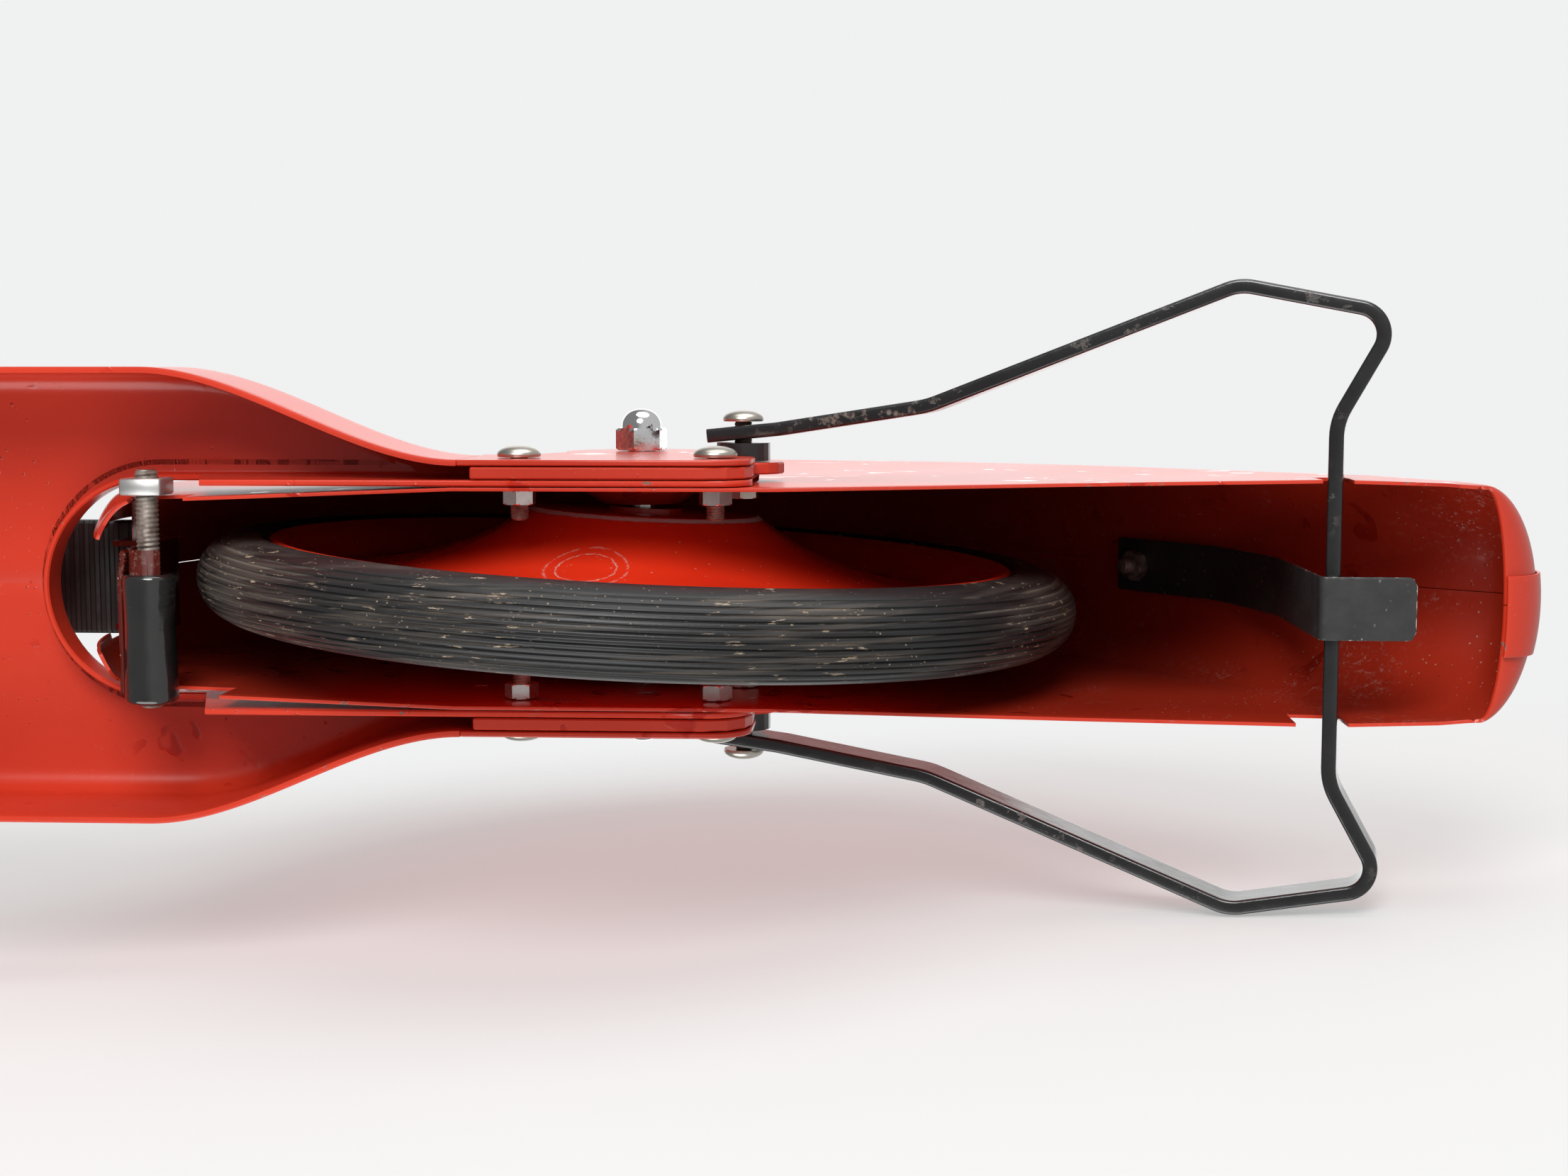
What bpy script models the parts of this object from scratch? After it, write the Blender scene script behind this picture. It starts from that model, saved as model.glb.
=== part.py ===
"""A child's kick scooter in pressed steel, with a pedal brake and a fold-down bail stand.

World frame: +X forward, +Y to the rider's left, +Z up, z = 0 under the tyres, y = 0 the middle.
Most sizes along X are given from the rear axle, and at() moves them into the world.
"""
import math

import bmesh
import bpy
import numpy as np
from mathutils import Matrix, Vector

# ---- driving dimensions, in metres -------------------------------------------------------------
WHEEL_R = 0.127                 # ten-inch wheel
WHEELBASE = 0.720
REAR_REACH = 0.24405            # tail of the rear mudguard behind the rear axle
FRONT_REACH = 0.13909           # front mudguard ahead of the front axle
REAR_X = (REAR_REACH - WHEELBASE - FRONT_REACH) / 2
GAP = 0.0003                    # between touching pieces
SHEET = 0.0016                  # deck steel
EDGE_Z = 0.057                  # lower edge of the deck flanges and of the rear mudguard

AXLE_R = 0.004
HUB_HALF = 0.0235
CAP_Y = 0.0225                  # flat cap of a wheel disc, from the wheel's middle plane
WHEEL_SKEW = math.radians(3.0)  # the rear wheel runs askew on its worn bearings
WHEEL_SHIFT_Y = -0.0030         # and sits to the right of the middle
WHEEL_STEPS = 36

DECK_TOP = 0.097
DECK_HALF = 0.061               # half width of the footboard
ARM_HALF = 0.0367               # outer face of the rear arms
DECK_CORNER = 0.008
SLOT_HALF = 0.0297              # inner face of the flange round the wheel slot
SLOT_END_X = 0.162
SLOT_LIP_Z = 0.086
ARM_END_X = -0.0365
ARM_CORNER = 0.012
LUG_Z = 0.124                   # centre of the round lug that carries the axle
LUG_R = 0.0215
PLATE_T = 0.0032

GUARD_T = 0.0009
GUARD_COLUMNS = 35
GUARD_R = 0.1565                # rear mudguard's crown about the axle
GUARD_LIP_X = 0.140
SEAM_Y = -0.003                 # middle of the cover strip over the mudguard's seam
SEAM_HALF = 0.0105

ARM_BOLT_X = 0.0264
ARM_BOLT_Z = 0.072
PIVOT_X = -0.032
PIVOT_Z = 0.098
STAND_W = 0.0127
STAND_T = 0.0032
CROSSBAR_X = -0.188
CROSSBAR_Z = 0.0636
CLIP_BOLT_X = -0.1512           # where the stand clip is bolted under the crown
CLIP_BOLT_Z = 0.1836
CLIP_OUT = (-0.776, 0, 0.631)

BRAKE_BOLT_R = 0.0031
BRAKE_BOLT_X = 0.1245
BRAKE_BOLT_Z = 0.061
BRAKE_PIN_X = 0.140
BRAKE_PIN_Z = 0.098
PEDAL_Z = 0.113                 # underside of the pedal rubber

RAKE = math.radians(15.0)
FORK_OFFSET = 0.030             # axle ahead of the steering axis
CROWN_S = 0.146                 # along the steering axis, from the foot of the axle's perpendicular
CROWN_TOP_S = 0.164
HEAD_LOW_S = 0.1725
HEAD_HIGH_S = 0.2725
STEERER_R = 0.011
STEM_R = 0.0092
HEAD_R = 0.017
BAR_S = 0.690
BAR_R = 0.011
BAR_HALF = 0.200
GUARD2_R = 0.144                # front mudguard

RED = (0.62, 0.05, 0.02)
BLACK = (0.02, 0.02, 0.022)

# ---- scene, collections and materials ----------------------------------------------------------
for old in list(bpy.data.objects):
    bpy.data.objects.remove(old)


def collection(name):
    made = bpy.data.collections.new(name)
    bpy.context.scene.collection.children.link(made)
    return made


PARTS = collection("kick_scooter")
CUTTERS = collection("cutters")
BORES = collection("bores")


def material(name, colour, roughness, metallic):
    made = bpy.data.materials.new(name)
    made.use_nodes = True
    shader = made.node_tree.nodes["Principled BSDF"]
    shader.inputs["Base Color"].default_value = (*colour, 1.0)
    shader.inputs["Roughness"].default_value = roughness
    shader.inputs["Metallic"].default_value = metallic
    return made


PAINT = material("red_enamel", RED, 0.25, 0.0)
BLACK_PAINT = material("black_enamel", BLACK, 0.35, 0.0)
RUBBER = material("tyre_rubber", (0.05, 0.05, 0.05), 0.7, 0.0)
SOFT_RUBBER = material("black_rubber", (0.02, 0.02, 0.02), 0.3, 0.0)
ZINC = material("zinc", (0.7, 0.7, 0.7), 0.3, 1.0)
NICKEL = material("dull_nickel", (0.55, 0.52, 0.46), 0.35, 1.0)
CHROME = material("chrome", (0.8, 0.8, 0.8), 0.08, 1.0)
SPRING_STEEL = material("spring_steel", (0.05, 0.05, 0.05), 0.4, 1.0)


# ---- frames ------------------------------------------------------------------------------------
def at(x, y, z):
    """A place given from the rear axle along X."""
    return Vector((REAR_X + x, y, z))


def frame(origin, along, forward=(1, 0, 0)):
    """A matrix whose local Z runs along `along` and whose local X lies nearest to `forward`."""
    z = Vector(along).normalized()
    x = Vector(forward)
    x = (x - z * x.dot(z)).normalized()
    y = z.cross(x)
    rot = Matrix((x, y, z)).transposed().to_4x4()
    return Matrix.Translation(origin) @ rot


FRONT_AXLE = at(WHEELBASE, 0, WHEEL_R)
STEER_UP = Vector((-math.sin(RAKE), 0, math.cos(RAKE)))
STEER_FORWARD = Vector((math.cos(RAKE), 0, math.sin(RAKE)))
STEER_FOOT = FRONT_AXLE - FORK_OFFSET * STEER_FORWARD
STEER = frame(STEER_FOOT, STEER_UP, STEER_FORWARD)
SIDE_Y = (0, 1, 0)


def across(x, z, y=0.0):
    """A frame at (x, y, z) whose local Z runs to the rider's left, and local X forward."""
    return frame(at(x, y, z), SIDE_Y)


# ---- making objects ----------------------------------------------------------------------------
def place(name, mesh, mat, matrix=None, home=None):
    obj = bpy.data.objects.new(name, mesh)
    (home or PARTS).objects.link(obj)
    if matrix is not None:
        obj.matrix_world = matrix
    if mat is not None:
        mesh.materials.append(mat)
    if home in (CUTTERS, BORES):
        obj.hide_render = True
        obj.display_type = "WIRE"
    return obj


def from_bmesh(name, bm, mat, matrix=None, home=None, smooth=False):
    mesh = bpy.data.meshes.new(name)
    bmesh.ops.recalc_face_normals(bm, faces=bm.faces)
    bm.to_mesh(mesh)
    bm.free()
    if smooth:
        mesh.shade_smooth()
        mesh.set_sharp_from_angle(angle=math.radians(35))
    return place(name, mesh, mat, matrix, home)


def turned(name, profile, mat, matrix, steps=24, home=None, closed=True):
    """A solid of revolution about local Z; the profile runs down its outer side."""
    count = len(profile)
    mesh = bpy.data.meshes.new(name)
    edges = [(i, i + 1) for i in range(count - 1)]
    if closed and profile[0][0] > 0:
        edges.append((count - 1, 0))
    mesh.from_pydata([(r, 0, h) for r, h in profile], edges, [])
    obj = place(name, mesh, mat, matrix, home)
    screw = obj.modifiers.new("turn", "SCREW")
    screw.axis = "Z"
    screw.angle = math.tau
    screw.steps = steps
    screw.render_steps = steps
    screw.use_merge_vertices = True
    screw.merge_threshold = 1e-5
    screw.use_smooth_shade = True
    return obj


def rod(name, radius, low, high, mat, matrix, steps=16, home=None, chamfer=0.0):
    """A round bar along local Z, from low to high."""
    c = chamfer
    profile = [(0, high), (radius - c, high), (radius, high - c), (radius, low + c),
               (radius - c, low), (0, low)]
    if c == 0:
        profile = [(0, high), (radius, high), (radius, low), (0, low)]
    return turned(name, profile, mat, matrix, steps, home)


def ring(name, inner, outer, low, high, mat, matrix, steps=24):
    return turned(name, [(outer, high), (outer, low), (inner, low), (inner, high)],
                  mat, matrix, steps)


def prism(name, outline, low, high, mat, matrix=None, home=None, bevel=0.0):
    """An outline in the local XY plane, carried from low to high along local Z."""
    bm = bmesh.new()
    face = bm.faces.new([bm.verts.new((x, y, low)) for x, y in outline])
    lifted = bmesh.ops.extrude_face_region(bm, geom=[face])["geom"]
    moved = [v for v in lifted if isinstance(v, bmesh.types.BMVert)]
    bmesh.ops.translate(bm, verts=moved, vec=(0, 0, high - low))
    obj = from_bmesh(name, bm, mat, matrix, home)
    if bevel:
        add_bevel(obj, bevel)
    return obj


def add_bevel(obj, width, segments=1, angle=35):
    bevel = obj.modifiers.new("edges", "BEVEL")
    bevel.width = width
    bevel.segments = segments
    bevel.limit_method = "ANGLE"
    bevel.angle_limit = math.radians(angle)
    return bevel


def thicken(obj, thickness, offset=-1.0):
    solid = obj.modifiers.new("sheet", "SOLIDIFY")
    solid.thickness = thickness
    solid.offset = offset
    solid.use_even_offset = True
    return solid


def combine(obj, other, operation):
    made = obj.modifiers.new(operation.lower(), "BOOLEAN")
    made.operation = operation
    made.object = other
    return made


def bore(obj):
    """Cuts every bolt and axle hole that meets this piece."""
    made = obj.modifiers.new("bores", "BOOLEAN")
    made.operation = "DIFFERENCE"
    made.operand_type = "COLLECTION"
    made.collection = BORES
    return made


def surface(name, points, mat, home=None):
    """A smooth open sheet through a grid of points, rows by columns by three."""
    rows, cols = points.shape[:2]
    r, c = np.meshgrid(np.arange(rows - 1), np.arange(cols - 1), indexing="ij")
    first = (r * cols + c).ravel()
    faces = np.stack([first, first + 1, first + cols + 1, first + cols], axis=1)
    mesh = bpy.data.meshes.new(name)
    mesh.from_pydata(points.reshape(-1, 3).tolist(), [], faces.tolist())
    mesh.shade_smooth()
    return place(name, mesh, mat, home=home)


def wire(name, points, radius, mat, resolution=2):
    """A round tube through points, as a mesh with welded caps."""
    curve = bpy.data.curves.new(name, "CURVE")
    curve.dimensions = "3D"
    curve.bevel_depth = radius
    curve.bevel_resolution = resolution
    curve.use_fill_caps = True
    spline = curve.splines.new("POLY")
    spline.points.add(len(points) - 1)
    for knot, p in zip(spline.points, points):
        knot.co = (*p, 1.0)
    temporary = bpy.data.objects.new(name + "_path", curve)
    PARTS.objects.link(temporary)
    evaluated = temporary.evaluated_get(bpy.context.evaluated_depsgraph_get())
    mesh = bpy.data.meshes.new_from_object(evaluated)
    bpy.data.objects.remove(temporary)
    bm = bmesh.new()
    bm.from_mesh(mesh)
    bmesh.ops.remove_doubles(bm, verts=bm.verts, dist=1e-5)
    bmesh.ops.recalc_face_normals(bm, faces=bm.faces)
    bm.to_mesh(mesh)
    bm.free()
    mesh.materials.clear()
    return mesh


def hexagon(across_flats):
    radius = across_flats / math.sqrt(3)
    return [(radius * math.cos(a), radius * math.sin(a)) for a in np.arange(6) * math.pi / 3]


def nut(name, across_flats, low, high, mat, matrix):
    made = prism(name, hexagon(across_flats), low, high, mat, matrix)
    bore(made)
    return made


def arc(cx, cz, radius, start, end, count):
    """Points on a circle, with angles in degrees."""
    return [(cx + radius * math.cos(math.radians(a)), cz + radius * math.sin(math.radians(a)))
            for a in np.linspace(start, end, count)]


def smoothstep(t):
    t = np.clip(t, 0.0, 1.0)
    return t * t * (3 - 2 * t)


def bezier(p0, p1, p2, p3, t):
    t = np.asarray(t)[:, None]
    return ((1 - t) ** 3 * np.array(p0) + 3 * (1 - t) ** 2 * t * np.array(p1)
            + 3 * (1 - t) * t ** 2 * np.array(p2) + t ** 3 * np.array(p3))


def rounded_path(corners, radii, step=math.radians(15)):
    """A polyline in a plane whose inner corners are rounded to the given radii."""
    pts = [np.array(corners[0])]
    for before, here, after, radius in zip(corners, corners[1:], corners[2:], radii):
        here = np.array(here)
        a = np.array(before) - here
        b = np.array(after) - here
        a /= np.linalg.norm(a)
        b /= np.linalg.norm(b)
        half = math.acos(np.clip(a @ b, -1, 1)) / 2
        middle = here + (a + b) / np.linalg.norm(a + b) * radius / math.sin(half)
        start = here + a * radius / math.tan(half) - middle
        turn = (math.pi - 2 * half) * np.sign(a[1] * b[0] - a[0] * b[1])
        count = max(2, int(abs(turn) / step) + 2)
        for angle in np.linspace(0, turn, count):
            c, s = math.cos(angle), math.sin(angle)
            pts.append(middle + np.array([c * start[0] - s * start[1], s * start[0] + c * start[1]]))
    pts.append(np.array(corners[-1]))
    return np.array(pts)


def ribbon(name, path, width, thickness, mat, matrix, home=None):
    """A flat bar whose thin section is bent along a plane path and whose width is along local Z."""
    tangent = np.gradient(path, axis=0)
    tangent /= np.linalg.norm(tangent, axis=1)[:, None]
    normal = np.stack([-tangent[:, 1], tangent[:, 0]], axis=1)
    left = path + normal * thickness / 2
    right = path - normal * thickness / 2
    outline = [tuple(p) for p in left] + [tuple(p) for p in right[::-1]]
    return prism(name, outline, -width / 2, width / 2, mat, matrix, home)


# ---- bores: the holes that bolts, pins and axles need -------------------------------------------
def make_bores():
    inner, outer = 0.012, 0.060
    for side in (-1, 1):
        for x in (ARM_BOLT_X, -ARM_BOLT_X):
            rod("arm_bore", 0.0025 + GAP, inner, outer, None, frame(at(x, 0, ARM_BOLT_Z), (0, side, 0)),
                12, BORES)
        rod("axle_bore", AXLE_R + GAP, 0.0275, outer, None, frame(at(0, 0, WHEEL_R), (0, side, 0)),
            16, BORES)
        rod("pivot_bore", 0.0025 + GAP, inner, outer, None, frame(at(PIVOT_X, 0, PIVOT_Z), (0, side, 0)),
            12, BORES)
    rod("pin_bore", 0.0020 + GAP, -0.030, 0.030, None, across(BRAKE_PIN_X, BRAKE_PIN_Z), 12, BORES)
    rod("clip_bore", 0.0025 + GAP, -0.010, 0.012, None,
        frame(at(CLIP_BOLT_X, -0.001, CLIP_BOLT_Z), CLIP_OUT), 12, BORES)


# ---- deck ---------------------------------------------------------------------------------------
def deck_stations():
    """Centre line of the footboard's top with its upward normal, half width and flange depth."""
    rise_x, rise_r, rise = 0.440, 0.090, math.radians(62)
    flat = np.concatenate([np.linspace(0.041, 0.129, 10), np.linspace(0.20, rise_x, 4)])
    pts = [(x, DECK_TOP, 0.0) for x in flat]
    for a in np.linspace(0, rise, 7)[1:]:
        pts.append((rise_x + rise_r * math.sin(a), DECK_TOP + rise_r * (1 - math.cos(a)), a))
    start = np.array(pts[-1][:2])
    head = STEER_FOOT + 0.232 * STEER_UP
    end = np.array([head.x - REAR_X - 0.008 * math.sin(rise), head.z + 0.008 * math.cos(rise)])
    for q in (0.25, 0.5, 0.75, 1.0):
        p = start + q * (end - start)
        pts.append((p[0], p[1], math.atan2(end[1] - start[1], end[0] - start[0])))
    return pts


def deck():
    stations = deck_stations()
    xz = np.array([p[:2] for p in stations])
    travel = np.concatenate([[0], np.cumsum(np.linalg.norm(np.diff(xz, axis=0), axis=1))])
    taper_from = travel[np.argmax(xz[:, 0] > 0.30) - 1]
    rows = []
    for (x, z, slope), run in zip(stations, travel):
        q = float(smoothstep((run - taper_from) / (travel[-1] - taper_from)))
        half = ARM_HALF + 0.0006 + (DECK_HALF - ARM_HALF - 0.0006) * float(smoothstep((x - 0.040) / 0.085))
        half += (0.0135 - half) * q
        depth = (DECK_TOP - EDGE_Z) * (1 - q) + 0.016 * q
        corner = DECK_CORNER * (1 - q) + 0.005 * q
        side = [(half, depth)] + [(half - corner + corner * math.cos(a), corner - corner * math.sin(a))
                                  for a in np.radians([0, 30, 60, 90])]
        section = side + [(-y, d) for y, d in reversed(side)]
        down = np.array([math.sin(slope), 0, -math.cos(slope)])
        rows.append([np.array(at(x, y, z)) + d * down for y, d in section])
    pan = surface("deck", np.array(rows), PAINT)
    thicken(pan, SHEET)
    slot_mid = SLOT_END_X - SLOT_HALF
    slot = arc(slot_mid, 0, SLOT_HALF, -90, 90, 13) + [(-0.08, SLOT_HALF), (-0.08, -SLOT_HALF)]
    combine(pan, prism("slot", slot, 0.03, 0.12, None, frame(at(0, 0, 0), (0, 0, 1)), CUTTERS),
            "DIFFERENCE")
    outer = SLOT_HALF + SHEET
    lip = (arc(slot_mid, 0, outer, -90, 90, 13) + [(0.110, outer), (0.110, SLOT_HALF)]
           + arc(slot_mid, 0, SLOT_HALF, 90, -90, 13) + [(0.110, -SLOT_HALF), (0.110, -outer)])
    combine(pan, prism("slot_lip", lip, SLOT_LIP_Z, DECK_TOP - 0.0004, None,
                       frame(at(0, 0, 0), (0, 0, 1)), CUTTERS), "UNION")
    low_rear = arc(ARM_END_X + ARM_CORNER, EDGE_Z + ARM_CORNER, ARM_CORNER, 270, 180, 5)
    inner = [(0.118, SLOT_LIP_Z), (0.109, EDGE_Z)] + low_rear + [(ARM_END_X, DECK_TOP - 0.0004),
                                                                  (0.118, DECK_TOP - 0.0004)]
    top_rear = arc(ARM_END_X + 0.008, 0.080, 0.008, 180, 95, 4) + [(-0.0240, 0.0890)]
    lug = arc(0, LUG_Z, LUG_R, 195, -20, 14) + [(0.028, DECK_TOP - 0.0004)]
    outer_arm = low_rear + top_rear + lug + [(0.060, DECK_TOP - 0.0004), (0.060, EDGE_Z + 0.0002)]
    for side in (-1, 1):
        for label, shape, low in (("arm_inner", inner, SLOT_HALF), ("arm_outer", outer_arm, ARM_HALF - SHEET)):
            flipped = [(x, -z * side) for x, z in shape]
            combine(pan, prism(label, flipped, low, low + SHEET, None,
                               frame(at(0, 0, 0), (0, side, 0)), CUTTERS), "UNION")
    head_space = rod("head_space", HEAD_R + GAP, 0.12, 0.33, None, STEER, 32, CUTTERS)
    combine(pan, head_space, "DIFFERENCE")
    bore(pan)
    return pan


def dropout_plate(name, side):
    """The thick plate between the deck's two flanges: axle lug on top, stand ear behind."""
    low_rear = arc(-0.0245, EDGE_Z + ARM_CORNER, ARM_CORNER, 270, 180, 4)
    ear = arc(PIVOT_X, PIVOT_Z, 0.0115, 250, 100, 8)
    lug = arc(0, LUG_Z, LUG_R + 0.0025, 190, -10, 12)
    outline = [(0.037, EDGE_Z)] + low_rear + ear + lug + [(0.037, 0.092)]
    y0 = SLOT_HALF + SHEET + GAP
    plate = prism(name, [(x, -z * side) for x, z in outline], y0, y0 + PLATE_T, PAINT,
                  frame(at(0, 0, 0), (0, side, 0)), bevel=0.0004)
    bore(plate)
    return plate


# ---- rear mudguard -------------------------------------------------------------------------------
def guard_lines(count):
    """Crown and lower edge of the rear mudguard in side view, both from nose to tail."""
    t = np.linspace(0, 1, count)
    nose = math.atan2(EDGE_Z - WHEEL_R, GUARD_LIP_X)
    last = math.radians(110)
    angle = nose + (last - nose) * np.clip(t / 0.6, 0, 1)
    crown = np.stack([GUARD_R * np.cos(angle), WHEEL_R + GUARD_R * np.sin(angle)], axis=1)
    leave = crown[-1] + 0.075 * np.array([-math.sin(last), math.cos(last)])
    tail = bezier(crown[-1], leave, (-0.190, 0.125), (-0.236, 0.092), np.clip((t - 0.6) / 0.28, 0, 1))
    curl = bezier((-0.236, 0.092), (-0.245, 0.0855), (-0.247, 0.062), (-0.231, EDGE_Z),
                  np.clip((t - 0.88) / 0.12, 0, 1))
    crown = np.where((t > 0.6)[:, None], tail, crown)
    crown = np.where((t > 0.88)[:, None], curl, crown)
    edge_x = np.interp(t, [0, 0.12, 0.25, 0.38, 0.51, 0.6, 0.88, 1.0],
                       [0.122, 0.117, 0.100, 0.062, 0.008, -0.036, -0.213, -0.224])
    return crown, np.stack([edge_x, np.full(count, EDGE_Z)], axis=1)


def guard_half_width(x):
    return np.interp(x, [-0.224, -0.215, -0.187, -0.120, -0.042, 0.042, 0.122],
                     [0.0305, 0.0313, 0.0321, 0.0310, 0.0294, 0.0294, 0.0263])


def guard_surface(count, across_fractions, outward=0.0):
    """Ribs from the lower edge: a straight wall, then a quarter-ellipse shoulder up to the crown."""
    crown, edge = guard_lines(count)
    rib = crown - edge
    length = np.linalg.norm(rib, axis=1)
    rib = rib / length[:, None]
    half = guard_half_width(edge[:, 0]) + outward
    shoulder = np.minimum(half, 0.8 * length)
    rows = []
    for y_part in across_fractions:
        if y_part >= 1:
            y = half
            along = (length - shoulder) * (2 - y_part)
        else:
            y = half * y_part
            along = length - shoulder + (shoulder + outward) * np.sqrt(1 - y_part ** 2)
        rows.append(np.stack([edge[:, 0] + rib[:, 0] * along, y, edge[:, 1] + rib[:, 1] * along], axis=1))
    return np.array(rows) + np.array(at(0, 0, 0))


def mudguard_half(name, side):
    parts = [2.0, 1.0] + [math.sin(a) for a in np.radians([70, 52, 35, 17])] + [0.0]
    grid = guard_surface(GUARD_COLUMNS, parts)
    grid[-1, :, 1] = GAP / 2
    grid[:, :, 1] *= side
    if side < 0:
        grid = grid[::-1]
    half = surface(name, grid, PAINT)
    thicken(half, GUARD_T)
    pedal_way = prism("pedal_way", [(0.118, -0.0155), (0.170, -0.0155), (0.170, 0.0155), (0.118, 0.0155)],
                      0.04, 0.134, None, frame(at(0, 0, 0), (0, 0, 1)), CUTTERS)
    combine(half, pedal_way, "DIFFERENCE")
    pad_way = prism("pad_way", [(0.118, -0.0172), (0.200, -0.0172), (0.200, 0.0172), (0.118, 0.0172)],
                    0.104, 0.140, None, frame(at(0, 0, 0), (0, 0, 1)), CUTTERS)
    combine(half, pad_way, "DIFFERENCE")
    reach = 0.008 if side > 0 else 0.012
    notch = [(CROSSBAR_X - 0.004, 0.04), (CROSSBAR_X + reach - 0.004, 0.04),
             (CROSSBAR_X + reach - 0.004, 0.0712), (CROSSBAR_X - 0.004, 0.0712)]
    combine(half, prism("stand_notch", [(x, -z * side) for x, z in notch], 0.02, 0.045, None,
                        frame(at(0, 0, 0), (0, side, 0)), CUTTERS), "DIFFERENCE")
    if side > 0:
        way = (arc(BRAKE_BOLT_X, BRAKE_BOLT_Z, 0.0038, 90, -90, 7)[::-1]
               + arc(BRAKE_BOLT_X - 0.0080, BRAKE_BOLT_Z + 0.0034, 0.0038, 90, 270, 7))
    else:
        way = [(0.105, 0.04), (0.135, 0.04), (0.135, 0.070), (0.105, 0.073)]
    combine(half, prism("brake_way", [(x, -z * side) for x, z in way], 0.012, 0.045, None,
                        frame(at(0, 0, 0), (0, side, 0)), CUTTERS), "DIFFERENCE")
    bore(half)
    return half


def seam_strip():
    """A cover strip that laps the seam of the two mudguard halves from nose to tail."""
    crown, edge = guard_lines(GUARD_COLUMNS)
    keep = slice(11, GUARD_COLUMNS)
    half = guard_half_width(edge[:, 0])
    rows = []
    for y in np.linspace(SEAM_Y + SEAM_HALF, SEAM_Y - SEAM_HALF, 5):
        part = np.abs(y) / half
        grid = []
        for i in range(len(crown)):
            rib = crown[i] - edge[i]
            length = np.linalg.norm(rib)
            rib /= length
            shoulder = min(half[i], 0.8 * length)
            along = length - shoulder * (1 - math.sqrt(1 - part[i] ** 2))
            grid.append((edge[i, 0] + rib[0] * along, y, edge[i, 1] + rib[1] * along))
        rows.append(grid[keep])
    grid = np.array(rows) + np.array(at(0, 0, 0))
    along = np.gradient(grid, axis=1)
    wide = np.gradient(grid, axis=0)
    normal = np.cross(along, wide)
    normal /= np.linalg.norm(normal, axis=2)[:, :, None]
    out = np.sign((normal * (grid - np.array(at(-0.02, 0, 0.12)))).sum(axis=2))[:, :, None]
    grid = grid + normal * out * (GAP + 0.0002)
    strip = surface("mudguard_seam_strip", grid, PAINT)
    thicken(strip, 0.0007, 1.0)
    bore(strip)


# ---- wheels --------------------------------------------------------------------------------------
DISC = [(0.0112, CAP_Y), (0.0318, CAP_Y), (0.039, 0.0170), (0.050, 0.0115), (0.066, 0.0065),
        (0.0855, 0.0022), (0.0905, 0.0022), (0.1040, 0.0104), (0.1075, 0.0112)]
TYRE = [(0.0985, 0.0042), (0.1035, 0.0084), (0.1084, 0.0098), (0.1098, 0.0118), (0.1185, 0.0118),
        (0.1245, 0.0090), (WHEEL_R, 0.0040)]


def mirrored_profile(side):
    """A closed turned profile from its upper half, run down the outer side."""
    upper = side[::-1]
    top = [(r, h) for r, h in side]
    lower = [(r, -h) for r, h in upper if h > 0]
    return top + lower


def wheel(label, matrix, bore_r):
    ring(label + "_hub", bore_r, 0.0108, -HUB_HALF, HUB_HALF, PAINT, matrix, 24)
    for side, tail in ((1, "left"), (-1, "right")):
        name = label + "_wheel_disc_" + tail
        face = matrix if side > 0 else matrix @ Matrix.Rotation(math.pi, 4, "X")
        thicken(turned(name, DISC, PAINT, face, WHEEL_STEPS, closed=False), 0.0011, 0.0)
    turned(label + "_tyre", mirrored_profile(TYRE), RUBBER, matrix, WHEEL_STEPS)


# ---- fasteners -----------------------------------------------------------------------------------
def truss_bolt(name, radius, seat, tip, head_r, head_h, mat, matrix):
    """A domed head above `seat` on local Z, and a shank down to `tip`."""
    dome = [(head_r * math.sin(a), seat + 0.0004 + (head_h - 0.0004) * math.cos(a))
            for a in np.radians([0, 30, 60, 90])]
    profile = dome + [(head_r, seat), (radius, seat), (radius, tip), (0, tip)]
    return turned(name, profile, mat, matrix, 14)


def arm_fasteners():
    outside = ARM_HALF + GAP
    inside = 0.0294 - GUARD_T - GAP
    for side, tail in ((1, "left"), (-1, "right")):
        for x, place_name in ((ARM_BOLT_X, "front"), (-ARM_BOLT_X, "rear")):
            spot = frame(at(x, 0, ARM_BOLT_Z), (0, side, 0))
            truss_bolt("arm_bolt_%s_%s" % (place_name, tail), 0.0025, outside, 0.0200, 0.0059,
                       0.0030, NICKEL, spot)
            nut("arm_nut_%s_%s" % (place_name, tail), 0.0080, inside - 0.0040, inside, ZINC, spot)
        pivot = frame(at(PIVOT_X, 0, PIVOT_Z), (0, side, 0))
        ear_face = SLOT_HALF + SHEET + GAP + PLATE_T
        ring("stand_spacer_" + tail, 0.0028, 0.0075, ear_face + GAP, ear_face + GAP + 0.0050,
             BLACK_PAINT, pivot, 20)
        truss_bolt("stand_bolt_" + tail, 0.0025, 0.0460, 0.0247, 0.0057, 0.0030, NICKEL, pivot)
        nut("stand_nut_" + tail, 0.0080, inside - 0.0036, inside, NICKEL, pivot)


def dome_nut(name, matrix, seat, end):
    """A hexagon with a dome, over the end of an axle that stops at `end`."""
    body = prism(name, hexagon(0.0133), seat, seat + 0.0050, CHROME, matrix)
    dome = [(0.0058 * math.sin(a), seat + 0.0062 + 0.0058 * math.cos(a))
            for a in np.radians([0, 30, 60, 90])]
    profile = dome + [(0.0058, seat + 0.0040), (0, seat + 0.0040)]
    combine(body, turned(name + "_dome", profile, None, matrix, 18, CUTTERS), "UNION")
    combine(body, rod(name + "_socket", AXLE_R + GAP, seat - 0.001, end + GAP, None, matrix, 16, CUTTERS),
            "DIFFERENCE")
    return body


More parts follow.
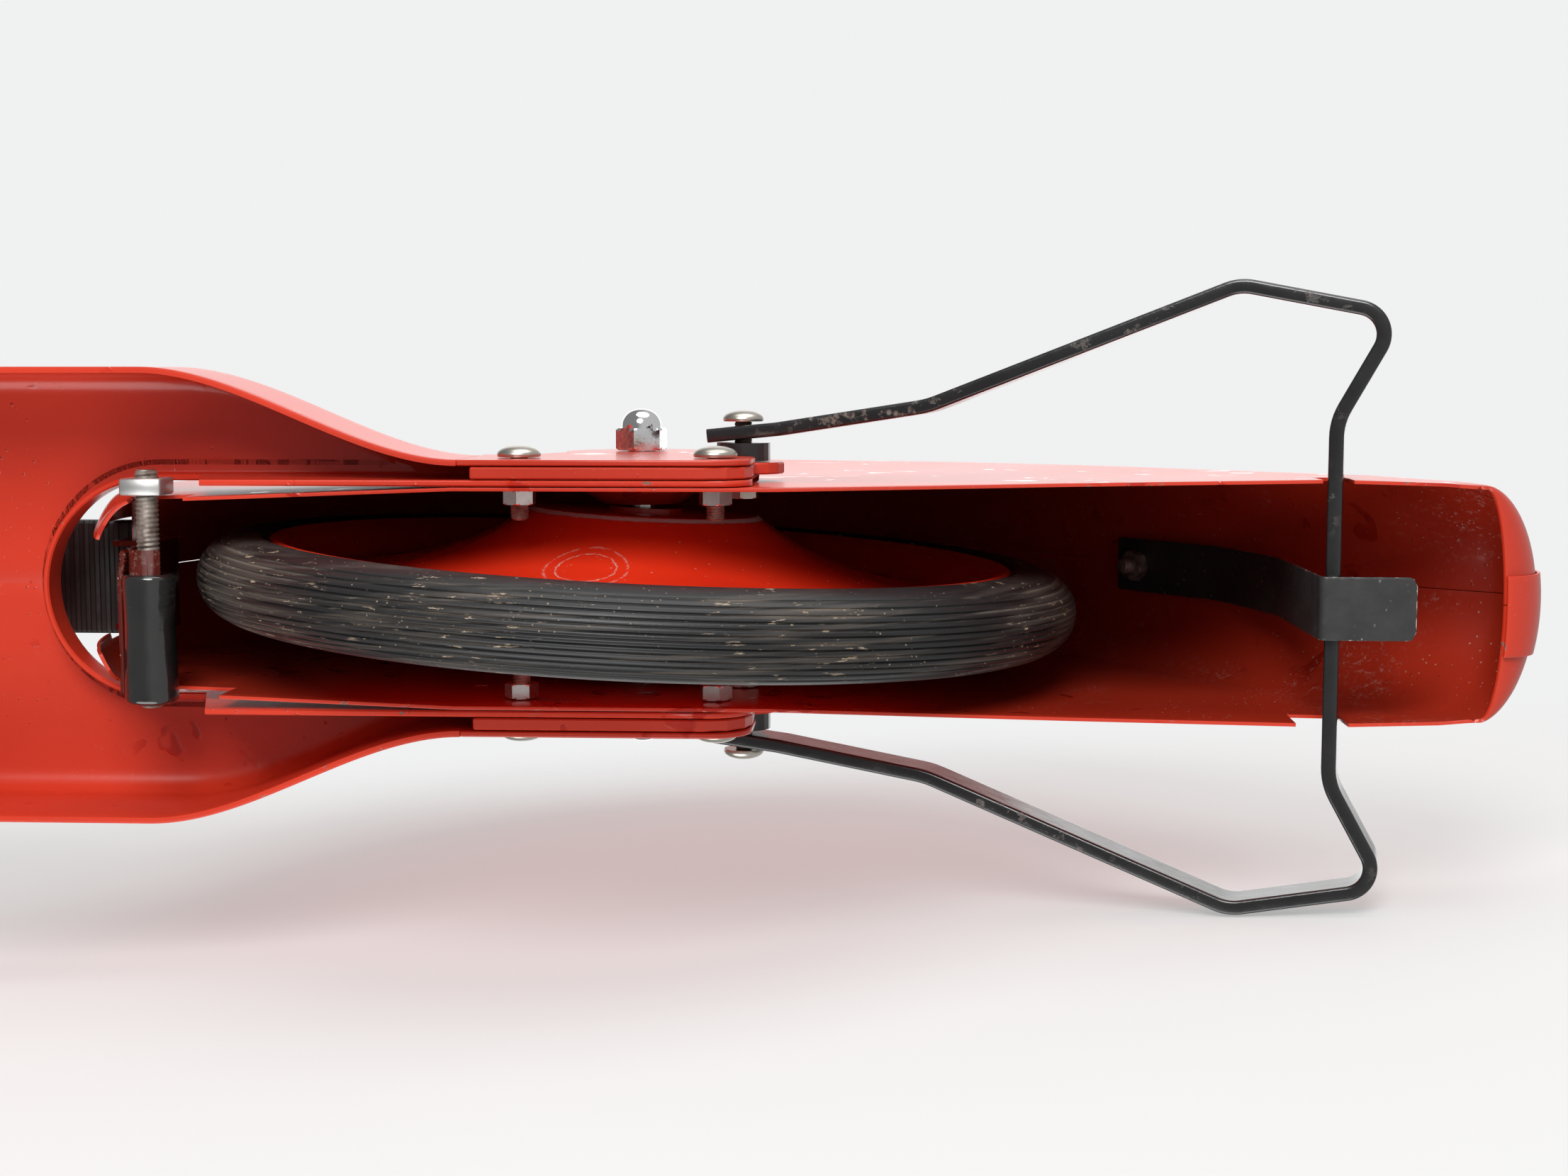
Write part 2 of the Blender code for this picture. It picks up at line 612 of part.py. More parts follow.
def rear_axle():
    seat = ARM_HALF + GAP
    end = seat + 0.0062
    spot = across(0, WHEEL_R)
    rod("rear_axle", AXLE_R, -end, end, ZINC, spot, 16, chamfer=0.0005)
    for side, tail in ((1, "left"), (-1, "right")):
        face = frame(at(0, 0, WHEEL_R), (0, side, 0))
        dome_nut("rear_axle_nut_" + tail, face, seat, end)
    wall = 0.0294 - GUARD_T - GAP
    mouth = WHEEL_SHIFT_Y + CAP_Y + 0.0020
    cup = [(0.0175, wall), (0.0175, mouth), (0.0160, mouth), (0.0160, wall - 0.0015),
           (AXLE_R + GAP, wall - 0.0015), (AXLE_R + GAP, wall)]
    turned("rear_axle_spacer_left", cup, PAINT, spot, 28)
    ring("rear_axle_spacer_right", AXLE_R + GAP, 0.0090, -wall, -wall + 0.0008, ZINC, spot, 20)


# ---- stand ---------------------------------------------------------------------------------------
def stand():
    """A bail of flat bar, bent on edge, that hangs on the two pivot bolts."""
    slope = math.atan2(PIVOT_Z - CROSSBAR_Z, PIVOT_X - CROSSBAR_X)
    stretch = 1 / math.cos(slope)
    right = [(-0.0235, 0.0420), (-0.0430, 0.0440), (-0.0840, 0.0505), (-0.1640, 0.0820), (-0.2030, 0.0740),
             (-0.1885, 0.0470)]
    right = [((x - PIVOT_X) * stretch, y) for x, y in right]
    corners = right + [(x, -y) for x, y in reversed(right)]
    radii = [0.030, 0.025, 0.012, 0.007, 0.016, 0.016, 0.007, 0.012, 0.025, 0.030]
    path = rounded_path(corners, radii)
    along = Vector((math.cos(slope), 0, math.sin(slope)))
    up = Vector((-math.sin(slope), 0, math.cos(slope)))
    bail = ribbon("stand", path, STAND_W, STAND_T, BLACK_PAINT,
                  frame(at(PIVOT_X, 0, PIVOT_Z), up, along))
    for side in (-1, 1):
        hole = rod("stand_hole", 0.0028, 0.036, 0.052, None,
                   frame(at(PIVOT_X, 0, PIVOT_Z), (0, side, 0)), 12, CUTTERS)
        combine(bail, hole, "DIFFERENCE")
    return bail


def stand_clip():
    """A spring strip bolted under the crown that comes down and hooks below the crossbar."""
    width = 0.0165
    front = CROSSBAR_X + STAND_T / 2 + 0.0023
    low = CROSSBAR_Z - STAND_W / 2 - 0.0016
    side_view = [(-0.1458, 0.1909), (-0.1720, 0.1545), (front + 0.0012, 0.1150), (front, low),
                 (front - 0.0240, low - 0.0006)]
    path = rounded_path(side_view, [0.030, 0.030, 0.0015])
    bore(ribbon("stand_clip", path, width, 0.0010, SPRING_STEEL, frame(at(0, -0.001, 0), (0, -1, 0))))
    spot = frame(at(CLIP_BOLT_X, -0.001, CLIP_BOLT_Z), CLIP_OUT)
    truss_bolt("stand_clip_bolt", 0.0025, 0.0053, -0.0078, 0.0052, 0.0024, NICKEL, spot)
    nut("stand_clip_nut", 0.0085, -0.0042, -0.0009, ZINC, spot)


# ---- brake ---------------------------------------------------------------------------------------
def brake():
    """A pedal lever on a pin in the mudguard's nose, with a rubber-sleeved bolt as its block."""
    pin = across(BRAKE_PIN_X, BRAKE_PIN_Z)
    rod("brake_pin", 0.0020, -0.0240, 0.0240, ZINC, pin, 12)
    ring("brake_spring", 0.0026, 0.0042, -0.0060, 0.0060, SPRING_STEEL, pin, 16)
    t = 0.0015
    plate_z = PEDAL_Z + 0.0026
    hook_r = BRAKE_BOLT_R + GAP + t
    profile = (arc(BRAKE_BOLT_X, BRAKE_BOLT_Z, hook_r, 215, 350, 8)
               + [(0.1322, 0.0660), (0.1322, 0.1020), (0.1420, plate_z), (0.1830, plate_z + 0.0010),
                  (0.1830, plate_z + 0.0010 + t), (0.1412, plate_z + t), (0.1306, 0.1030),
                  (0.1306, 0.0668)]
               + arc(BRAKE_BOLT_X, BRAKE_BOLT_Z, hook_r - t, 350, 215, 8))
    spot = frame(at(0, 0, 0), (0, -1, 0))
    lever = prism("brake_lever", [(x, z) for x, z in profile], -0.0125, 0.0240, PAINT, spot)
    trim = prism("lever_trim", [(0.1240, 0.0760), (0.1240, 0.1400), (0.2000, 0.1400), (0.2000, 0.0760)],
                 0.0125, 0.0400, None, spot, CUTTERS)
    combine(lever, trim, "DIFFERENCE")
    for side in (-1, 1):
        ear = [(0.1310, 0.0905), (0.1450, 0.0905), (0.1450, 0.1050), (0.1400, 0.1070), (0.1310, 0.1040)]
        cheek = prism("cheek", [(x, -z * side) for x, z in ear], 0.0110, 0.0125, None,
                      frame(at(0, 0, 0), (0, side, 0)), CUTTERS)
        combine(lever, cheek, "UNION")
    combine(lever, rod("pin_hole", 0.0020 + GAP, -0.02, 0.02, None, pin, 12, CUTTERS), "DIFFERENCE")
    bolt = across(BRAKE_BOLT_X, BRAKE_BOLT_Z)
    rod("brake_bolt", BRAKE_BOLT_R, -0.0300, 0.0338, ZINC, bolt, 16, chamfer=0.0006)
    square = prism("brake_square_nut", [(-0.0056, -0.0056), (0.0056, -0.0056), (0.0056, 0.0056),
                                        (-0.0056, 0.0056)], 0.0271, 0.0316, ZINC, bolt, bevel=0.0005)
    combine(square, rod("square_bore", BRAKE_BOLT_R + GAP, 0.02, 0.04, None, bolt, 16, CUTTERS),
            "DIFFERENCE")
    inner = BRAKE_BOLT_R + t + 2 * GAP
    sleeve = (arc(0, 0, 0.0070, 0, 360, 21)[:-1])
    block = prism("brake_block", sleeve, -0.0287, 0.0060, SOFT_RUBBER, bolt, bevel=0.0010)
    combine(block, rod("block_bore", inner, -0.04, 0.02, None, bolt, 16, CUTTERS), "DIFFERENCE")
    gap_way = prism("block_way", [(0.1285, 0.0592), (0.1345, 0.0602), (0.1345, 0.0750), (0.1240, 0.0750)],
                    -0.0070, 0.0300, None, spot, CUTTERS)
    combine(block, gap_way, "DIFFERENCE")
    pad_low = PEDAL_Z
    pad_high = plate_z + t + 0.0030
    pad = [(0.1440, pad_low), (0.1860, pad_low + 0.0008), (0.1860, pad_high + 0.0010), (0.1440, pad_high)]
    pedal = prism("brake_pedal_rubber", pad, -0.0165, 0.0165, SOFT_RUBBER, spot, bevel=0.0010)
    pocket = [(0.1400, plate_z - GAP), (0.1834, plate_z + 0.0010 - GAP),
              (0.1834, plate_z + 0.0010 + t + GAP), (0.1400, plate_z + t + GAP)]
    combine(pedal, prism("pedal_pocket", pocket, -0.0129, 0.0129, None, spot, CUTTERS), "DIFFERENCE")


# ---- front end -----------------------------------------------------------------------------------
def head():
    """Head tube with its bearing cups and lock nut, all on the steering axis."""
    ring("head_tube", 0.0135, HEAD_R, HEAD_LOW_S, HEAD_HIGH_S, PAINT, STEER, 28)
    ring("lower_bearing_cup", STEERER_R + 0.0010, 0.0195, CROWN_TOP_S + GAP, HEAD_LOW_S - GAP, CHROME,
         STEER, 24)
    ring("upper_bearing_cup", STEERER_R + 0.0010, 0.0195, HEAD_HIGH_S + GAP, HEAD_HIGH_S + 0.0060,
         CHROME, STEER, 24)
    top = HEAD_HIGH_S + 0.0065
    lock = prism("head_lock_nut", hexagon(0.0300), top, top + 0.0070, CHROME, STEER, bevel=0.0006)
    combine(lock, rod("lock_bore", STEERER_R + GAP, top - 0.01, top + 0.02, None, STEER, 20, CUTTERS),
            "DIFFERENCE")


def fork():
    """Crown, two blades, their ends, and the steerer, welded into one."""
    half = 0.0330
    crown = prism("fork", [(-0.012, -half - 0.008), (0.012, -half - 0.008), (0.012, half + 0.008),
                           (-0.012, half + 0.008)], CROWN_S, CROWN_TOP_S, PAINT, STEER, bevel=0.004)
    steerer = rod("steerer", STEERER_R, CROWN_S + 0.004, 0.3000, None, STEER, 20, CUTTERS)
    combine(crown, steerer, "UNION")
    for side in (-1, 1):
        face = frame(at(WHEELBASE, 0, WHEEL_R), (0, side, 0))
        route = bezier((0.0, side * half, CROWN_S + 0.009), (0.0, side * half, 0.095),
                       (0.012, side * 0.0345, 0.045), (FORK_OFFSET, side * 0.0345, 0.002),
                       np.linspace(0, 1, 8))
        blade = place("blade", wire("blade", route, 0.0078, PAINT), None, STEER, CUTTERS)
        combine(blade, rod("blade_trim", 0.0200, 0.0200, 0.0331, None, face, 20, CUTTERS), "DIFFERENCE")
        combine(blade, rod("blade_trim", 0.0200, 0.0361, 0.0480, None, face, 20, CUTTERS), "DIFFERENCE")
        combine(crown, blade, "UNION")
        combine(crown, rod("fork_end", 0.0105, 0.0328, 0.0364, None, face, 20, CUTTERS), "UNION")
        combine(crown, rod("fork_axle_hole", AXLE_R + GAP, 0.0300, 0.0400, None, face, 16, CUTTERS),
                "DIFFERENCE")
    combine(crown, rod("stem_bore", STEM_R + GAP, 0.1900, 0.3100, None, STEER, 20, CUTTERS), "DIFFERENCE")
    combine(crown, rod("guard_bolt_hole", 0.0025 + GAP, 0.1400, 0.1560, None, STEER, 12, CUTTERS),
            "DIFFERENCE")
    return crown


def front_axle():
    spot = across(WHEELBASE, WHEEL_R)
    seat = 0.0364 + GAP
    end = seat + 0.0062
    rod("front_axle", AXLE_R, -end, end, ZINC, spot, 16, chamfer=0.0005)
    for side, tail in ((1, "left"), (-1, "right")):
        face = frame(at(WHEELBASE, 0, WHEEL_R), (0, side, 0))
        dome_nut("front_axle_nut_" + tail, face, seat, end)


def front_mudguard():
    """A narrow crowned blade over the front wheel, bolted up into the fork crown."""
    angles = np.radians(np.linspace(15, 142, 19))
    parts = np.radians(np.linspace(-90, 90, 7))
    a, p = np.meshgrid(angles, parts, indexing="xy")
    radius = GUARD2_R - 0.009 * (1 - np.cos(p))
    centre = np.array(FRONT_AXLE)
    grid = np.stack([centre[0] + radius * np.cos(a), 0.0225 * np.sin(p), centre[2] + radius * np.sin(a)],
                    axis=2)[::-1]
    blade = surface("front_mudguard", grid, PAINT)
    thicken(blade, 0.0010)
    combine(blade, rod("guard_hole", 0.0025 + GAP, 0.1200, 0.1500, None, STEER, 12, CUTTERS), "DIFFERENCE")
    truss = frame(STEER_FOOT, -STEER_UP, STEER_FORWARD)
    truss_bolt("front_mudguard_bolt", 0.0025, -0.1374, -0.1545, 0.0050, 0.0022, NICKEL, truss)


def handlebar():
    """Stem, clamp, swept bar and two rubber grips."""
    stem = rod("stem", STEM_R, 0.1950, BAR_S, CHROME, STEER, 20)
    sleeve = STEER @ Matrix.Translation((0, 0, BAR_S)) @ Matrix.Rotation(math.pi / 2, 4, "X")
    combine(stem, rod("stem_head", 0.0150, -0.0200, 0.0200, None, sleeve, 24, CUTTERS), "UNION")
    combine(stem, rod("bar_hole", BAR_R + GAP, -0.03, 0.03, None, sleeve, 20, CUTTERS), "DIFFERENCE")
    inward = np.concatenate([[BAR_HALF, 0.094], np.linspace(0.086, 0.030, 8), [0.022]])
    y = np.concatenate([-inward, inward[::-1]])
    bend = smoothstep((np.abs(y) - 0.022) / 0.072)
    points = np.stack([-0.014 * bend, y, BAR_S + 0.018 * bend], axis=1)
    place("handlebar", wire("handlebar", points, BAR_R, CHROME, 3), CHROME, STEER)
    for sign, tail in ((1, "left"), (-1, "right")):
        spot = STEER @ frame((points[-1][0], 0, points[-1][2]), (0, sign, 0))
        low, high = BAR_HALF - 0.1000, BAR_HALF + 0.0030
        profile = [(0, high), (0.0150, high), (0.0165, high - 0.0030), (0.0150, high - 0.0060),
                   (0.0142, low + 0.0080), (0.0165, low + 0.0050), (0.0165, low), (BAR_R + 0.0004, low),
                   (BAR_R + 0.0004, BAR_HALF + GAP), (0, BAR_HALF + GAP)]
        turned("grip_" + tail, profile, SOFT_RUBBER, spot, 20)


def deck_mat():
    """A ribbed rubber mat glued to the footboard ahead of the pedal."""
    outline = rounded_path([(0.198, 0.0), (0.198, -0.047), (0.420, -0.0430), (0.420, 0.0430),
                            (0.198, 0.047), (0.198, 0.0)], [0.012, 0.012, 0.012, 0.012])[:-1]
    prism("deck_mat", [tuple(p) for p in outline], DECK_TOP + GAP, DECK_TOP + 0.0028, SOFT_RUBBER,
          frame(at(0, 0, 0), (0, 0, 1)))


# ---- the whole scooter ---------------------------------------------------------------------------
def wheel_frame(x, shift, skew):
    return (Matrix.Translation(at(x, shift, WHEEL_R)) @ Matrix.Rotation(skew, 4, "Z")
            @ frame((0, 0, 0), SIDE_Y))


make_bores()
deck()
dropout_plate("dropout_plate_left", 1)
dropout_plate("dropout_plate_right", -1)
mudguard_half("mudguard_left", 1)
mudguard_half("mudguard_right", -1)
seam_strip()
wheel("rear", wheel_frame(0, WHEEL_SHIFT_Y, WHEEL_SKEW), 0.0060)
rear_axle()
arm_fasteners()
stand()
stand_clip()
brake()
head()
fork()
wheel("front", wheel_frame(WHEELBASE, 0, 0), AXLE_R + GAP)
front_axle()
front_mudguard()
handlebar()
deck_mat()
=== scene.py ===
"""A child's pressed-steel kick scooter. The camera looks at its rear wheel from below, turned as if
the scooter lay on its side.

Metres throughout, in the part's own frame: X forward, Y to the rider's left, Z up. Most shapes are
worked out from the rear axle: from_rear() and spot() give their place and carried() takes them there.
"""
import math

import bmesh
import bpy
import numpy as np
from mathutils import Matrix, Vector


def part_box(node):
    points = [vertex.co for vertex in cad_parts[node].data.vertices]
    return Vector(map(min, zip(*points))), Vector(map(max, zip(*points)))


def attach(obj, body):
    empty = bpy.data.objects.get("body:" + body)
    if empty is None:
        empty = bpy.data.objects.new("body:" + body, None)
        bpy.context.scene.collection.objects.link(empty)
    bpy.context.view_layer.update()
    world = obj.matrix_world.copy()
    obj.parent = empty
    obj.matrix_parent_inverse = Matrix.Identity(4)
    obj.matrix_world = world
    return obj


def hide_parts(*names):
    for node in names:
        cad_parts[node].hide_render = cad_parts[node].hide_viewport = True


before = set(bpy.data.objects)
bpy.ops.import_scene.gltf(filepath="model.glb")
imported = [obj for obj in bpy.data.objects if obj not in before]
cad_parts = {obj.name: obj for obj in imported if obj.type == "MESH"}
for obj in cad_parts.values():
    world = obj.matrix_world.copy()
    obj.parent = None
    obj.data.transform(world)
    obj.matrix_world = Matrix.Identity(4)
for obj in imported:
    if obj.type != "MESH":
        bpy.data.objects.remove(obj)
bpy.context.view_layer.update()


def middle(node):
    low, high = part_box(node)
    return (low + high) / 2


# ---- the scooter's own sizes -------------------------------------------------------------------
REAR = middle("rear_axle")
FRONT = middle("front_axle")
GROUND_Z = 0.0
WHEEL_R = REAR.z
WHEEL_MID_Y = -0.003
WHEEL_SKEW = math.radians(3.0)
CAP_Y = 0.0225
EDGE_Z = 0.057                     # lower edge of deck flanges and mudguard
DECK_TOP = 0.097
DECK_HALF = 0.061
ARM_HALF = 0.0367
SHEET = 0.0016
SLOT_HALF = 0.0297
SLOT_END = 0.162
SLOT_MID = SLOT_END - SLOT_HALF
ARM_END = -0.0365
ARM_CORNER = 0.012
LUG_Z = 0.124
LUG_R = 0.0215
PIVOT = middle("stand_bolt_left") - REAR
GUARD_R = 0.1565
GUARD_T = 0.0009
NOTCH_X = -0.188
STAND_T = 0.0032
STAND_SEEN_T = 0.0038
STAND_W = 0.0127
CROSSBAR_Z = 0.0636
RAKE = math.radians(15.0)
FORK_OFFSET = 0.030
BAR_S = 0.690
BAR_HALF = 0.200
FINE_PITCH = 0.0008                # thread of the small screws
SAME_POINT = 2e-6
NO_LENGTH = 1e-7

STEER_UP = Vector((-math.sin(RAKE), 0, math.cos(RAKE)))
STEER_FORWARD = Vector((math.cos(RAKE), 0, math.sin(RAKE)))
STEER_FOOT = FRONT - FORK_OFFSET * STEER_FORWARD


# ---- placing -----------------------------------------------------------------------------------
def spot(origin, up, forward=(1, 0, 0)):
    """A matrix whose local Z runs along up and whose local X lies nearest to forward."""
    z = Vector(up).normalized()
    x = Vector(forward)
    x = (x - z * x.dot(z)).normalized()
    turn = Matrix((x, z.cross(x), z)).transposed().to_4x4()
    return Matrix.Translation(origin) @ turn


def from_rear(x, y, z):
    return Vector((REAR.x + x, y, z))


# Centre of the painted reflection on the rear wheel's left flank.
REFLECTION_CENTRE = from_rear(0.0085, 0, WHEEL_R - 0.056)


def carried(points, matrix):
    """Grid points taken through a 4 by 4 matrix."""
    m = np.array(matrix)
    return points @ m[:3, :3].T + m[:3, 3]


STEER = spot(STEER_FOOT, STEER_UP, STEER_FORWARD)


# ---- shader maths ------------------------------------------------------------------------------
class Wire:
    """A socket in a material, with arithmetic that adds Math nodes."""

    def __init__(self, finish, socket):
        self.finish = finish
        self.socket = socket

    def maths(self, operation, first, second=0.0):
        settings = {"operation": operation}
        return self.finish.add("ShaderNodeMath", settings, {0: first, 1: second})

    def __add__(self, other):
        return self.maths("ADD", self, other)

    def __radd__(self, other):
        return self.maths("ADD", other, self)

    def __sub__(self, other):
        return self.maths("SUBTRACT", self, other)

    def __rsub__(self, other):
        return self.maths("SUBTRACT", other, self)

    def __mul__(self, other):
        return self.maths("MULTIPLY", self, other)

    def __rmul__(self, other):
        return self.maths("MULTIPLY", other, self)

    def __pow__(self, other):
        return self.maths("POWER", self, other)

    def most(self, other):
        return self.maths("MAXIMUM", self, other)

    def least(self, other):
        return self.maths("MINIMUM", self, other)

    def sine(self):
        return self.maths("SINE", self)

    def size(self):
        return self.maths("ABSOLUTE", self)

    def rise(self, low, high):
        """0 below low, 1 above high, and a smooth step between. It falls where low is above high."""
        falling = low > high
        if falling:
            low, high = high, low
        step = self.finish.add("ShaderNodeMapRange", {"interpolation_type": "SMOOTHSTEP"},
                               {"Value": self, "From Min": low, "From Max": high})
        return 1 - step if falling else step


class Finish:
    """A procedural material on one Principled shader."""

    def __init__(self, name, **constants):
        self.material = bpy.data.materials.new(name)
        self.material.use_nodes = True
        self.tree = self.material.node_tree
        self.shader = self.tree.nodes["Principled BSDF"]
        self.feed(self.shader, {key.replace("_", " "): value for key, value in constants.items()})
        self.place = self.add("ShaderNodeTexCoord", {}, {}, "Object")

    def feed(self, node, sockets):
        for key, value in sockets.items():
            if isinstance(value, Wire):
                self.tree.links.new(value.socket, node.inputs[key])
            elif isinstance(value, tuple) and node.inputs[key].type == "RGBA":
                node.inputs[key].default_value = (*value, 1.0)
            else:
                node.inputs[key].default_value = value

    def add(self, kind, settings, sockets, output=0):
        node = self.tree.nodes.new(kind)
        for key, value in settings.items():
            setattr(node, key, value)
        self.feed(node, sockets)
        return Wire(self, node.outputs[output])

    def set(self, **sockets):
        self.feed(self.shader, {key.replace("_", " "): value for key, value in sockets.items()})
        return self

    def stretched(self, scale, turn=0.0, centre=(0, 0, 0)):
        """Object coordinates turned about Z around a centre and scaled, to draw a pattern out."""
        moved = self.add("ShaderNodeVectorMath", {"operation": "SUBTRACT"}, {0: self.place, 1: centre})
        return self.add("ShaderNodeMapping", {}, {"Vector": moved, "Scale": scale, "Rotation": (0, 0, turn)})

    def noise(self, scale, detail=3.0, roughness=0.5, place=None, distortion=0.0):
        sockets = {"Vector": place or self.place, "Scale": scale, "Detail": detail, "Roughness": roughness,
                   "Distortion": distortion}
        return self.add("ShaderNodeTexNoise", {}, sockets)

    def cells(self, scale):
        """Distance to the nearest of scattered points."""
        return self.add("ShaderNodeTexVoronoi", {}, {"Vector": self.place, "Scale": scale}, "Distance")

    def axes(self):
        parts = self.add("ShaderNodeSeparateXYZ", {}, {"Vector": self.place})
        outputs = parts.socket.node.outputs
        return [Wire(self, outputs[axis]) for axis in "XYZ"]

    def attribute(self, name):
        return self.add("ShaderNodeAttribute", {"attribute_name": name}, {}, "Fac")

    def mixed(self, amount, first, second):
        """A blend of two colours. A colour Mix takes them on sockets 6 and 7 and gives its own on 2."""
        return self.add("ShaderNodeMix", {"data_type": "RGBA"}, {0: amount, 6: first, 7: second}, 2)

    def bumped(self, height, depth, strength=1.0):
        return self.add("ShaderNodeBump", {}, {"Height": height, "Distance": depth, "Strength": strength})


# ---- finishes ----------------------------------------------------------------------------------
def red_enamel(name, grime=0.0, deep=1.0):
    """Old thick orange-red enamel, slightly hazed, with smooth darker runs where it has stayed wet-looking,
    a few nibs, rare chips along the edges and, where grime is set, pale specks of dust."""
    f = Finish(name, Coat_Weight=0.12, Coat_Roughness=0.06, Specular_IOR_Level=0.45)
    broad = f.noise(11.0, 2.0)
    pool = f.noise(95.0, 2.0, 0.45, distortion=0.6).rise(0.62, 0.68) * f.noise(17.0, 1.0).rise(0.46, 0.60)
    nibs = f.cells(300.0).rise(0.17, 0.05) * f.noise(38.0, 2.0).rise(0.54, 0.66)
    # deep darkens the whole red; on the mudguard's inside this darkening is painted shade.
    red = f.mixed(broad.rise(0.3, 0.7), tuple(deep * c for c in (0.52, 0.031, 0.0115)),
                  tuple(deep * c for c in (0.60, 0.041, 0.0160)))
    red = f.mixed(pool * 0.75, red, (0.40 * deep, 0.010, 0.004))
    red = f.mixed(nibs * 0.55, red, (0.20, 0.010, 0.006))
    chip = (f.attribute("edge") * f.noise(240.0, 4.0, 0.65)).rise(0.60, 0.66)
    chip = chip * f.noise(30.0, 2.0).rise(0.48, 0.6)
    red = f.mixed(chip, red, (0.16, 0.115, 0.09))
    specks = f.cells(430.0).rise(0.15, 0.06) * f.noise(30.0, 3.0, 0.6).rise(0.46, 0.60)
    bloom = f.noise(600.0, 4.0, 0.75).rise(0.52, 0.70) * f.noise(20.0, 3.0, 0.6).rise(0.50, 0.70)
    dust = (specks * 0.8).most(bloom * 0.55) * grime
    red = f.mixed(dust, red, (0.46, 0.34, 0.29))
    rough = 0.26 + broad * 0.10 - pool * 0.20 + dust * 0.4 + chip * 0.3
    height = f.noise(360.0, 2.0) * 0.14 + f.noise(60.0, 2.0) * 0.25 + pool * 0.6 + nibs * 0.6 - chip * 0.5
    return f.set(Base_Color=red, Roughness=rough, Normal=f.bumped(height, 0.0004, 0.7)).material


def wheel_enamel():
    """Smoother red on the wheels, with a worn pale ring round the cap's shoulder, small spots, and on the
    rear wheel's left face a painted reflection: faint pale concentric rings on the flank."""
    f = Finish("wheel enamel", Coat_Weight=0.3, Coat_Roughness=0.05)
    broad = f.noise(18.0, 2.0)
    red = f.mixed(broad.rise(0.3, 0.7), (0.76, 0.030, 0.009), (0.84, 0.040, 0.012))
    worn = (f.attribute("edge") * (0.55 + f.noise(240.0, 4.0, 0.7))).rise(0.50, 0.85)
    red = f.mixed(worn, red, (0.60, 0.54, 0.52))
    x, y, z = f.axes()
    # Painted reflection: faint pale concentric rings on the rear wheel's left flank.
    wobble = f.noise(500.0, 3.0, 0.7) * 0.0016
    away = ((x - REFLECTION_CENTRE.x) ** 2.0 + (z - REFLECTION_CENTRE.z) ** 2.0) ** 0.5 + wobble
    rings = (away - 0.0090).size().rise(0.00035, 0.0001) + (away - 0.0122).size().rise(0.0005, 0.0001) * 0.5
    rings = rings * f.noise(320.0, 3.0, 0.7).rise(0.36, 0.60) * y.rise(0.0, 0.004)
    spots = f.cells(330.0).rise(0.15, 0.06) * f.noise(60.0).rise(0.50, 0.62)
    # pale holds the small spots together with the painted reflection rings.
    pale = (spots * 0.5).most(rings.least(0.8))
    red = f.mixed(pale, red, (0.74, 0.42, 0.36))
    height = f.noise(300.0, 2.0) * 0.12 + pale * 0.3 - worn * 0.4
    rough = 0.13 + broad * 0.08 + worn * 0.4 + pale * 0.3
    return f.set(Base_Color=red, Roughness=rough, Normal=f.bumped(height, 0.0004, 0.7)).material


def black_enamel():
    """Glossy black enamel with brownish rubs along its edges and a few small knocks."""
    f = Finish("black enamel", Coat_Weight=0.3, Coat_Roughness=0.10)
    torn = f.noise(260.0, 5.0, 0.7)
    patch = f.noise(26.0, 2.0)
    rubbed = (f.attribute("edge") * torn).rise(0.54, 0.64) * patch.rise(0.46, 0.62)
    knocks = f.cells(160.0).rise(0.20, 0.10) * patch.rise(0.56, 0.64)
    black = f.mixed(f.noise(60.0), (0.006, 0.006, 0.007), (0.016, 0.0155, 0.016))
    colour = f.mixed(rubbed * 0.8, black, (0.17, 0.135, 0.11))
    colour = f.mixed(knocks * 0.6, colour, (0.30, 0.25, 0.21))
    rough = 0.20 + f.noise(120.0, 3.0) * 0.12 + rubbed.most(knocks) * 0.35
    height = f.noise(230.0, 3.0) * 0.35 - rubbed.most(knocks) * 0.5
    return f.set(Base_Color=colour, Roughness=rough, Normal=f.bumped(height, 0.0004, 0.8)).material


def tyre_rubber(name, centre, turn):
    """Black tread rubber with a bluish bloom: brown dust lies in some grooves, with straw-coloured bits."""
    f = Finish(name, Specular_IOR_Level=0.4)
    streaks = f.noise(1.0, 5.0, 0.6, f.stretched((22.0, 620.0, 22.0), turn, centre))
    patch = f.noise(13.0, 3.0)
    groove = f.attribute("groove")
    dust = (streaks * 0.75 + patch * 0.55).rise(0.62, 0.82) * (0.30 + groove * 0.70)
    straw = f.noise(1.0, 4.0, 0.7, f.stretched((150.0, 900.0, 150.0), turn, centre)).rise(0.615, 0.66)
    straw = straw * patch.rise(0.46, 0.56)
    grains = f.cells(480.0).rise(0.17, 0.06) * f.noise(45.0, 3.0).rise(0.48, 0.60)
    rubber = f.mixed(f.noise(30.0, 2.0), (0.008, 0.0085, 0.009), (0.017, 0.0175, 0.0185))
    # Painted shade: the tread grooves are painted near-black.
    rubber = f.mixed(groove * 0.8, rubber, (0.004, 0.004, 0.004))
    rubber = f.mixed(dust * 0.75, rubber, (0.19, 0.155, 0.125))
    rubber = f.mixed(straw.most(grains * 0.8) * 0.9, rubber, (0.40, 0.31, 0.22))
    rough = 0.40 + dust * 0.4 + groove * 0.15
    height = f.noise(800.0, 3.0) * 0.25 + straw * 0.8 + grains * 0.6
    return f.set(Base_Color=rubber, Roughness=rough, Normal=f.bumped(height, 0.0003, 0.6)).material


